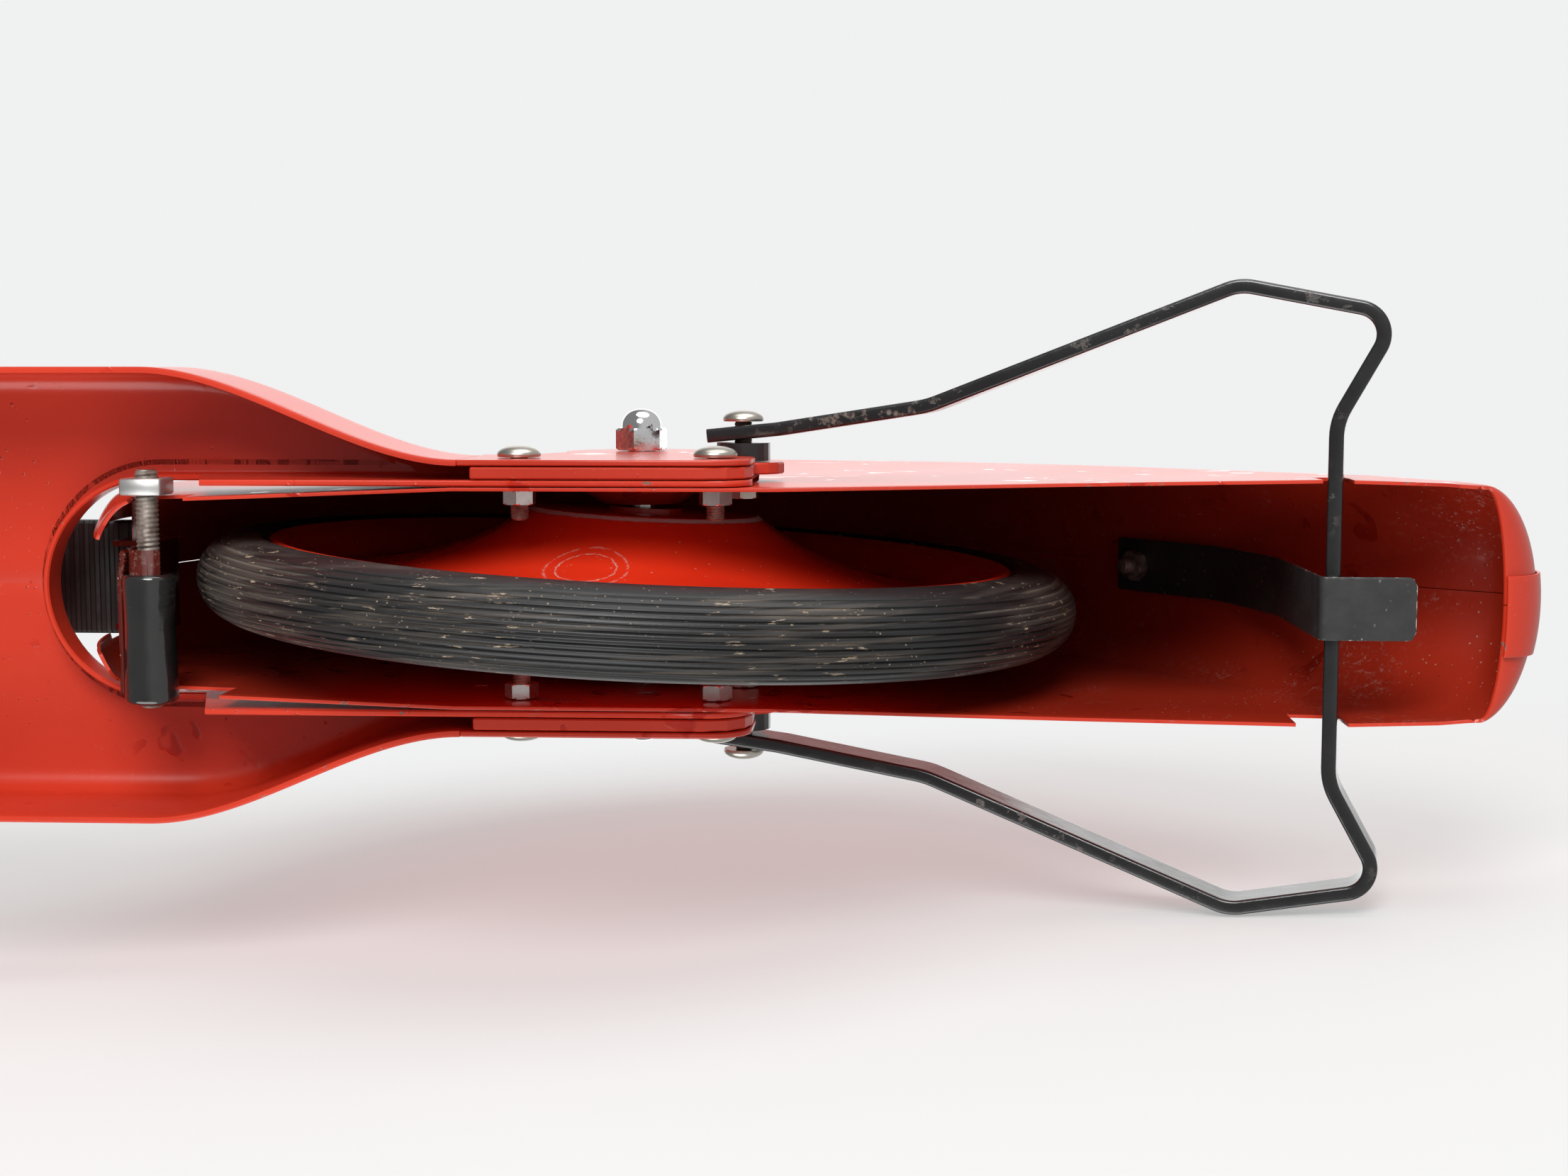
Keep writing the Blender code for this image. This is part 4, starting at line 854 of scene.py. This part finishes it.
def wheel_face(name, matrix):
    """A pressed wheel face: flat cap, round shoulder, a long bell-shaped flank and a rolled rim lip."""
    shoulder = arc(0.0318, CAP_Y - 0.0030, 0.0030, 90, 50, 6)
    profile = np.vstack([[(0.0112, CAP_Y)], shoulder, curve_through([tuple(shoulder[-1])] + FLANK, 6)[1:],
                         arc(0.1062, 0.0098, 0.0014, 120, -20, 7)])
    outward = np.gradient(profile, axis=0)
    outward /= np.linalg.norm(outward, axis=1)[:, None]
    inner = profile - 0.0011 * np.stack([-outward[:, 1], outward[:, 0]], axis=1)
    loop = np.vstack([profile, inner[::-1]])
    worn = np.exp(-((loop[:, 0] - 0.0335) / 0.0013) ** 2)
    return turned(name, loop, matrix, 160, True, {"edge": worn[None, :]})


def tread(name, matrix):
    """A solid tyre. Across: an ellipse 23.6 mm wide and 15 mm deep, less a narrow bell-shaped groove
    0.55 mm deep every 1.62 mm over its middle; then down both walls into the rim. Round: a circle."""
    v = np.linspace(-90, 90, 260)
    y = 0.0118 * np.sin(np.radians(v))
    crown = 0.1120 + 0.0149 * np.cos(np.radians(v)) ** 0.85
    aside = (np.mod(y / 0.00162 + 0.5, 1.0) - 0.5) * 0.00162
    cut = np.exp(-(aside / 0.00027) ** 2) * smooth((0.0113 - np.abs(y)) / 0.0010)
    outer = np.stack([crown - 0.00055 * cut, y], axis=1)
    wall = np.array([(0.1098, 0.0117), (0.1088, 0.0103), (0.1084, 0.0098), (0.1035, 0.0084),
                     (0.0985, 0.0042)])
    profile = np.vstack([wall[::-1] * (1, -1), outer, wall])
    groove = np.concatenate([np.zeros(5), cut, np.zeros(5)])
    return turned(name, profile, matrix, 220, True, {"groove": groove[None, :]})


def make_wheel(label, matrix, body, tyre_finish):
    for side, tail in ((1, "left"), (-1, "right")):
        node = label + "_wheel_disc_" + tail
        face = matrix if side > 0 else matrix @ Matrix.Rotation(math.pi, 4, "X")
        piece(label + "_wheel_face_" + tail, wheel_face(node, face), WHEEL_PAINT, body, [node], 60)
    piece(label + "_tread", tread(label, matrix), tyre_finish, body, [label + "_tyre"], 60)
    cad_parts[label + "_hub"].data.materials[0] = PAINT


# ---- fasteners ---------------------------------------------------------------------------------
def hex_nut(name, flats, low, high, matrix, bore=0.0026):
    """A hexagon nut. Its radius is the lesser of the flats' and a chamfer cone's at each end. With f half
    the width over flats: r(a, h) = min(f / cos(a within 60 degrees), 1.045 f + 1.7 * distance to the
    nearer face)."""
    angle = full_turn(96)
    height = low + (high - low) * np.linspace(0, 1, 15)[None, :]
    flat = flats / 2 / np.cos(np.mod(angle, math.pi / 3) - math.pi / 6)
    near = np.minimum(height - low, high - height)
    radius = np.minimum(flat, flats / 2 * 1.045 + 1.7 * near)
    points = np.concatenate([around(bore, angle, low), around(radius, angle, height),
                             around(bore, angle, high)], axis=1)
    return weld(sheet_mesh(name, carried(points, matrix), True, True), outward=True)


def dome(radius, seat, height, count):
    """Profile of a dome from its top down to its seat."""
    angle = np.linspace(0, math.pi / 2, count)
    return np.stack([radius * np.sin(angle) ** 0.9, seat + height * np.cos(angle)], axis=1)


def screw_head(name, matrix, seat, radius, height):
    """A raised round head with a small eased rim and no slot."""
    profile = np.vstack([dome(radius, seat + 0.0006, height - 0.0006, 14),
                         [(radius - 0.0002, seat), (0.0, seat)]])
    return turned(name, profile, matrix, 48)


def thread(name, matrix, radius, low, high, pitch):
    """A screw's shank. r(a, h) = R - 0.3 pitch * |saw(h / pitch - a / turn)|, tapered at the ends."""
    count = max(12, int((high - low) / pitch * 9))
    angle = full_turn(40)
    height = np.linspace(low, high, count)[None, :]
    saw = np.abs(np.mod(height / pitch - angle / math.tau, 1.0) - 0.5) * 2
    ease = np.minimum(1, np.minimum(height - low, high - height) / 0.0006)
    r = radius - 0.30 * pitch * saw - 0.0006 * (1 - ease)
    points = np.concatenate([around(0, angle, low), around(r, angle, height), around(0, angle, high)], axis=1)
    return weld(sheet_mesh(name, carried(points, matrix), wrap_rows=True), outward=True)


def crosswise(node, side, turn=0.0):
    """Where a fastener lies that points outwards on a side: its matrix and its inner and outer ends."""
    low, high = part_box(node)
    centre = middle(node)
    matrix = spot((centre.x, 0, centre.z), (0, side, 0)) @ Matrix.Rotation(turn, 4, "Z")
    inner, outer = sorted((side * low.y, side * high.y))
    return matrix, inner, outer


def make_screw(node, side, head_radius, head_height, finish, body):
    matrix, tip, top = crosswise(node, side)
    seat = top - head_height
    head = screw_head(node, matrix, seat, head_radius, head_height)
    piece(node + "_head", head, finish, body, [node], 50)
    shank = thread(node, matrix, 0.0025, tip, seat + 0.0002, FINE_PITCH)
    piece(node + "_shank", shank, THREAD, body, [node], 60)


def make_nut(node, side, flats, finish, body, turn):
    matrix, inner, outer = crosswise(node, side, turn)
    piece(node + "_hexagon", hex_nut(node, flats, inner, outer, matrix), finish, body, [node], 30)


def make_dome_nut(node, side, finish, body):
    """An axle's domed nut: chamfered hexagon, a short neck and a round cap."""
    matrix, inner, outer = crosswise(node, side, 0.35)
    neck = inner + 0.0064
    hexagon = hex_nut(node, 0.0133, inner, neck, matrix, 0.0041)
    piece(node + "_hexagon", hexagon, finish, body, [node], 30)
    profile = np.vstack([dome(0.0058, neck + 0.0006, outer - neck - 0.0006, 20),
                         [(0.0058, neck - 0.0004), (0.0, neck - 0.0004)]])
    piece(node + "_dome", turned(node, profile, matrix, 64), finish, body, [node], 50)


def make_fasteners():
    for side, tail in ((1, "left"), (-1, "right")):
        for where, turn in (("front", 0.2), ("rear", 0.55)):
            make_screw("arm_bolt_%s_%s" % (where, tail), side, 0.0059, 0.0030, NICKEL, "frame")
            make_nut("arm_nut_%s_%s" % (where, tail), side, 0.0080, ZINC, "frame", turn + side * 0.3)
        make_screw("stand_bolt_" + tail, side, 0.0057, 0.0030, NICKEL, "frame")
        make_nut("stand_nut_" + tail, side, 0.0080, NICKEL, "frame", 0.4)
        make_dome_nut("rear_axle_nut_" + tail, side, CHROME, "frame")
        make_dome_nut("front_axle_nut_" + tail, side, CHROME, "steering")
        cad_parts["stand_spacer_" + tail].data.materials[0] = BLACK
    for node in ("rear_axle", "rear_axle_spacer_right", "front_axle", "brake_pin"):
        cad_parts[node].data.materials[0] = ZINC


# ---- rear axle collar --------------------------------------------------------------------------
def make_collar():
    """The painted cup between the left wheel cap and the mudguard."""
    low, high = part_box("rear_axle_spacer_left")
    matrix = spot((REAR.x, 0, REAR.z), (0, 1, 0))
    outer = (high.x - low.x) / 2
    profile = np.vstack([arc(outer - 0.0012, high.y - 0.0012, 0.0012, 0, 90, 5), [(0.0046, high.y)],
                         [(0.0046, low.y)], arc(outer * 0.62, low.y + 0.0010, 0.0010, 270, 300, 3),
                         [(outer - 0.0004, high.y - 0.0030)]])
    piece("axle_collar", turned("axle_collar", profile, matrix, 80, True), ARM_PAINT, "frame",
          ["rear_axle_spacer_left"], 40)


# ---- stand and its clip ------------------------------------------------------------------------
def make_stand():
    """Half-inch flat bar on edge along a bent route in a plane tipped from the pivots to the crossbar."""
    slope = math.atan2(PIVOT.z + REAR.z - CROSSBAR_Z, PIVOT.x - NOTCH_X)
    stretch = 1 / math.cos(slope)
    right = [(-0.0235, 0.0420), (-0.0430, 0.0440), (-0.0840, 0.0505), (-0.1640, 0.0820), (-0.2030, 0.0740),
             (-0.1885, 0.0470)]
    right = [((x - PIVOT.x) * stretch, y) for x, y in right]
    corners = right + [(x, -y) for x, y in reversed(right)]
    route = rounded_route(corners, [0.030, 0.025, 0.012, 0.007, 0.016, 0.016, 0.007, 0.012, 0.025, 0.030])
    along = Vector((math.cos(slope), 0, math.sin(slope)))
    up = Vector((-math.sin(slope), 0, math.cos(slope)))
    matrix = spot(Vector((REAR.x + PIVOT.x, 0, REAR.z + PIVOT.z)), up, along)
    flat = np.column_stack([route, np.zeros(len(route))])
    bar = flat_bar(STAND_SEEN_T, STAND_W, 0.0008)
    far = np.abs(np.abs(bar[:, 1]) - STAND_W / 2) < 0.0009
    mesh = swept("stand_bail", carried(flat, matrix), bar, up, {"edge": np.where(far, 1.0, 0.25)[None, :]})
    piece("stand_bail", mesh, BLACK, "stand", ["stand"], 45)


def make_clip():
    """A spring strip down from the crown that hooks under the crossbar and ends in a rounded tab."""
    front = NOTCH_X + STAND_T / 2 + 0.0023
    low = CROSSBAR_Z - STAND_W / 2 - 0.0016
    side_view = [(-0.1458, 0.1909), (-0.1720, 0.1545), (front + 0.0012, 0.1150), (front, low),
                 (front - 0.0240, low - 0.0006)]
    route = rounded_route(side_view, [0.030, 0.030, 0.0015], math.radians(4))
    end = route[-1]
    route = np.vstack([route[:-1], np.linspace(route[-2], end, 30)[1:]])
    path = np.column_stack([REAR.x + route[:, 0], np.full(len(route), -0.001), route[:, 1]])
    to_end = np.linalg.norm(route - end, axis=1)
    corner = 0.0022
    lost = corner - np.sqrt(np.clip(corner ** 2 - np.clip(corner - to_end, 0, corner) ** 2, 0, None))
    widths = 1 - lost / 0.00825
    bar = flat_bar(0.0010, 0.0165, 0.0003, 3)
    rim = np.clip((np.abs(bar[:, 1]) - 0.0074) / 0.0007, 0, 1)
    rim = np.maximum(rim[None, :] * 0.8, np.clip(1 - to_end / 0.0009, 0, 1)[:, None])
    mesh = swept("clip_strip", path, bar, (0, 1, 0), {"edge": rim}, widths)
    piece("clip_strip", mesh, SPRING, "frame", ["stand_clip"], 40)
    centre = Vector((REAR.x - 0.1512, -0.001, 0.1836))
    matrix = spot(centre, (-0.776, 0, 0.631))
    head = screw_head("clip_screw", matrix, 0.0053, 0.0052, 0.0024)
    piece("clip_screw_head", head, NICKEL, "frame", ["stand_clip_bolt"], 50)
    shank = thread("clip_screw", matrix, 0.0025, -0.0078, 0.0055, FINE_PITCH)
    piece("clip_screw_shank", shank, THREAD, "frame", ["stand_clip_bolt"], 60)
    nut = hex_nut("clip_nut", 0.0085, -0.0042, -0.0009, matrix @ Matrix.Rotation(0.3, 4, "Z"))
    piece("clip_nut", nut, THREAD, "frame", ["stand_clip_nut"], 30)


# ---- brake -------------------------------------------------------------------------------------
SLEEVE_RIGHT, SLEEVE_LEFT, SLEEVE_ROUND = -0.0287, 0.0060, 0.0014
BRAKE_PITCH = 0.00127


def brake_sleeve(matrix):
    """The rubber sleeve on the brake's bolt. Across: a slightly squared oval. Along: ends rounded on
    SLEEVE_ROUND, and between them a shallow wave where it has been pressed."""
    quarter = np.linspace(0, math.pi / 2, 8)
    s = np.concatenate([SLEEVE_RIGHT + SLEEVE_ROUND * (1 - np.cos(quarter)),
                        np.linspace(-0.0272, 0.0046, 60)[1:-1],
                        0.0046 + SLEEVE_ROUND * np.sin(quarter)])
    inset = np.minimum(s - SLEEVE_RIGHT, SLEEVE_LEFT - s)
    inset = np.clip(SLEEVE_ROUND - inset, 0, SLEEVE_ROUND)
    shrink = 1 - (SLEEVE_ROUND - np.sqrt(SLEEVE_ROUND ** 2 - inset ** 2)) / 0.0070
    angle = np.linspace(0, math.tau, 72, endpoint=False)
    across = np.sign(np.cos(angle)) * np.abs(np.cos(angle)) ** 0.86
    deep = np.sign(np.sin(angle)) * np.abs(np.sin(angle)) ** 0.86
    sag = 1 + 0.035 * np.sin(s * 190.0)[:, None] * np.cos(2 * angle)
    points = np.stack([0.0066 * across * shrink[:, None] * sag, 0.0068 * deep * shrink[:, None] * sag,
                       s[:, None] + 0 * angle], axis=2)
    ends = [np.stack([0.0035 * np.cos(angle), 0.0035 * np.sin(angle), 0 * angle + level], axis=1)[None]
            for level in (s[0] + 0.0004, s[-1] - 0.0004)]
    points = np.concatenate([ends[0], points, ends[1]])
    return weld(sheet_mesh("sleeve", carried(points, matrix), True, True), outward=True)


def make_brake():
    """The bolt across the wheel's front, its square nut, the lever and its folded strap, the shiny
    sleeve that rubs the tyre, and the pedal with its pin and coil."""
    low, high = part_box("brake_bolt")
    matrix = spot((middle("brake_bolt").x, 0, middle("brake_bolt").z), (0, 1, 0))
    bolt = thread("brake_bolt", matrix, 0.0031, low.y, high.y, BRAKE_PITCH)
    piece("brake_screw", bolt, THREAD, "brake", ["brake_bolt"], 60)
    copied("brake_square_nut", GREY_NUT, "brake", 30, 0.0003)
    copied("brake_lever", GRIMY_PAINT, "brake", 30)
    piece("brake_sleeve", brake_sleeve(matrix), SLEEVE, "brake", ["brake_block"], 60)
    y = np.linspace(-0.0262, 0.0118, 110)
    crimp = np.where(y > 0.0050, 0.00025 * np.sin(y * 5200.0), 0.0)
    strap = np.stack([0.0078 + crimp - 0.0008 * smooth((y - 0.004) / 0.006), 0 * y - 0.0035, y], axis=1)
    strap = swept("strap", carried(strap, matrix), flat_bar(0.0015, 0.0085, 0.0006), (0, 0, 1))
    piece("brake_strap", strap, GRIMY_PAINT, "brake", ["brake_lever"], 50)
    copied("brake_pedal_rubber", PEDAL, "brake", 30, 0.0008)
    turns = np.linspace(0, 7 * math.tau, 260)
    climb = np.linspace(-0.0052, 0.0052, 260)
    coil = np.stack([0.0034 * np.cos(turns), 0.0034 * np.sin(turns), climb], axis=1)
    pin = spot(middle("brake_pin"), (0, 1, 0))
    wire = swept("pedal_spring", carried(coil, pin), round_bar(0.0007, 10), (0, 1, 0))
    piece("pedal_spring", wire, SPRING, "frame", ["brake_spring"], 60)


# ---- front end ---------------------------------------------------------------------------------
def make_front():
    """Fork, head, stem, bar and grips, and the narrow front mudguard."""
    copied("fork", PAINT, "steering")
    copied("head_tube", PAINT, "frame")
    copied("lower_bearing_cup", CHROME, "frame")
    copied("upper_bearing_cup", CHROME, "frame")
    copied("head_lock_nut", CHROME, "steering")
    copied("stem", CHROME, "steering")
    copied("deck_mat", MAT, "frame", bevel=0.0008)
    y = np.linspace(-BAR_HALF, BAR_HALF, 161)
    bend = smooth((np.abs(y) - 0.022) / 0.072)
    path = carried(np.stack([-0.014 * bend, y, BAR_S + 0.018 * bend], axis=1), STEER)
    bar = swept("swept_bar", path, round_bar(0.011, 40), STEER_UP)
    piece("swept_bar", bar, CHROME, "steering", ["handlebar"], 60)
    for side, tail in ((1, "left"), (-1, "right")):
        end = STEER @ spot((-0.014, 0, BAR_S + 0.018), (0, side, 0))
        low, high = BAR_HALF - 0.100, BAR_HALF + 0.003
        s = np.linspace(low + 0.007, high - 0.008, 120)
        ribs = 0.0141 + 0.0005 * np.cos((s - s[0]) / 0.006 * math.tau) ** 3
        profile = np.vstack([[(0.0114, low)], arc(0.0152, low + 0.0013, 0.0013, -90, 60, 7),
                             np.stack([ribs, s], axis=1), arc(0.0152, high - 0.0030, 0.0013, -60, 60, 7),
                             arc(0.0128, high - 0.0018, 0.0018, 30, 90, 5), [(0.0, high)]])
        inner = [(0.0, BAR_HALF + 0.0003), (0.0114, BAR_HALF + 0.0003)]
        grip = turned("grip", np.vstack([profile, inner]), end, 64, True)
        piece("grip_sleeve_" + tail, grip, GRIP, "steering", ["grip_" + tail], 45)
    angle = np.radians(np.linspace(15, 142, 110))[None, :]
    part = np.radians(np.linspace(-90, 90, 28))[:, None]
    radius = 0.144 - 0.009 * (1 - np.cos(part))
    points = np.stack([FRONT.x + radius * np.cos(angle), 0.0225 * np.sin(part) + 0 * angle,
                       FRONT.z + radius * np.sin(angle)], axis=2)
    blade = piece("front_blade", turned_out(sheet_mesh("front_blade", points), FRONT), PAINT, "steering",
                  ["front_mudguard"], 60)
    walled(blade, 0.0010)
    eased(blade, 0.0003)
    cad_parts["front_mudguard_bolt"].data.materials[0] = NICKEL


# ---- stage -------------------------------------------------------------------------------------
def stage_finish(name, colour, glow=0.0, fade=None):
    """Pale matt floor that shows only from its front. fade takes the finish and gives how solid it is."""
    f = Finish(name, Roughness=0.75, Specular_IOR_Level=0.25)
    cloud = f.noise(3.0, 3.0)
    f.set(Base_Color=f.mixed(cloud.rise(0.3, 0.7), tuple(0.96 * c for c in colour), colour),
          Emission_Color=(1.0, 0.995, 0.99), Emission_Strength=glow)
    solid = 1 - f.add("ShaderNodeNewGeometry", {}, {}, "Backfacing")
    if fade:
        solid = solid * fade(f)
    f.set(Alpha=solid)
    return f.material


def stage_plane(name, corners, finish):
    mesh = bpy.data.meshes.new(name)
    mesh.from_pydata(corners, [], [(0, 1, 2, 3)])
    mesh.materials.append(finish)
    obj = bpy.data.objects.new(name, mesh)
    bpy.context.scene.collection.objects.link(obj)
    for ray in ("diffuse", "glossy", "transmission", "shadow"):
        setattr(obj, "visible_" + ray, False)
    return obj


def area_light(name, place, target, size, power):
    data = bpy.data.lights.new(name, "AREA")
    data.shape = "DISK"
    data.size = size
    data.energy = power
    obj = bpy.data.objects.new(name, data)
    obj.location = place
    obj.rotation_euler = (Vector(target) - Vector(place)).to_track_quat("-Z", "Y").to_euler()
    obj.visible_camera = False
    bpy.context.scene.collection.objects.link(obj)
    return obj


def make_world():
    """Soft studio surroundings: brighter behind the scooter than ahead of it, and pale where the camera
    sees them itself."""
    world = bpy.data.worlds.new("studio")
    bpy.context.scene.world = world
    world.use_nodes = True
    tree = world.node_tree
    soft = tree.nodes["Background"]
    seen = tree.nodes.new("ShaderNodeBackground")
    seen.inputs["Color"].default_value = (0.875, 0.878, 0.882, 1)
    place = tree.nodes.new("ShaderNodeTexCoord")
    parts = tree.nodes.new("ShaderNodeSeparateXYZ")
    ramp = tree.nodes.new("ShaderNodeMapRange")
    path = tree.nodes.new("ShaderNodeLightPath")
    mix = tree.nodes.new("ShaderNodeMixShader")
    for label, value in (("From Min", 0.30), ("From Max", -0.15), ("To Min", 0.22), ("To Max", 0.52)):
        ramp.inputs[label].default_value = value
    links = [(place.outputs["Generated"], parts.inputs[0]), (parts.outputs["X"], ramp.inputs["Value"]),
             (ramp.outputs[0], soft.inputs["Strength"]), (path.outputs["Is Camera Ray"], mix.inputs[0]),
             (soft.outputs[0], mix.inputs[1]), (seen.outputs[0], mix.inputs[2]),
             (mix.outputs[0], tree.nodes["World Output"].inputs["Surface"])]
    for output, entry in links:
        tree.links.new(output, entry)
    soft.inputs["Color"].default_value = (1.0, 0.99, 0.98, 1)


def make_stage():
    bpy.context.scene.view_settings.view_transform = "Standard"
    make_world()
    around_all = [(x, y, GROUND_Z) for x, y in ((-3, -3), (3, -3), (3, 3), (-3, 3))]
    ground = stage_plane("ground", around_all, stage_finish("ground", (0.60, 0.60, 0.59), 0.2))
    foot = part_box("stand")[0].y - 0.0006
    tilt = math.tan(math.radians(4.0))
    places = [(-0.48, -0.45), (0.10, -0.45), (0.30, 0.42), (-0.48, 0.42)]
    corners = [(REAR.x + x, foot - (x + 0.17) * tilt, z) for x, z in places]
    pale = stage_finish("side floor", (0.40, 0.40, 0.40), 0.39, lambda f: f.axes()[2].rise(0.42, 0.26))
    floor = stage_plane("side_floor", corners, pale)
    floor.data.flip_normals()
    unlit = bpy.data.collections.new("unlit")
    unlit.objects.link(ground)
    unlit.collection_objects[0].light_linking.link_state = "EXCLUDE"
    target = from_rear(-0.05, 0, 0.06)
    for name, shift, size, power in (("ceiling", (-0.10, 1.40, 0.05), 1.3, 10),
                                     ("key", (0.15, 0.95, -1.15), 0.8, 20),
                                     ("bounce", (0.35, -0.95, -0.60), 1.2, 11)):
        light = area_light(name, target + Vector(shift), target, size, power)
        light.light_linking.receiver_collection = unlit
    area_light("over the rider", (0.1, -0.1, 2.2), (0, 0, 0.2), 3.0, 24)


def make_camera():
    data = bpy.data.cameras.new("camera")
    data.lens = 50
    data.sensor_width = 36
    data.clip_start = 0.01
    obj = bpy.data.objects.new("camera", data)
    obj.location = from_rear(-0.0767, 0.059, -0.508)
    obj.rotation_euler = [math.radians(a) for a in (174.395, -3.152, -180.0)]
    bpy.context.scene.collection.objects.link(obj)
    bpy.context.scene.camera = obj


make_camera()
make_deck()
make_mudguard()
make_wheel("rear", spot(from_rear(0, WHEEL_MID_Y, WHEEL_R), (-math.sin(WHEEL_SKEW), math.cos(WHEEL_SKEW), 0)),
           "rear_wheel", REAR_TYRE)
make_wheel("front", spot(FRONT, (0, 1, 0)), "front_wheel", FRONT_TYRE)
make_fasteners()
make_collar()
make_stand()
make_clip()
make_brake()
make_front()
make_stage()
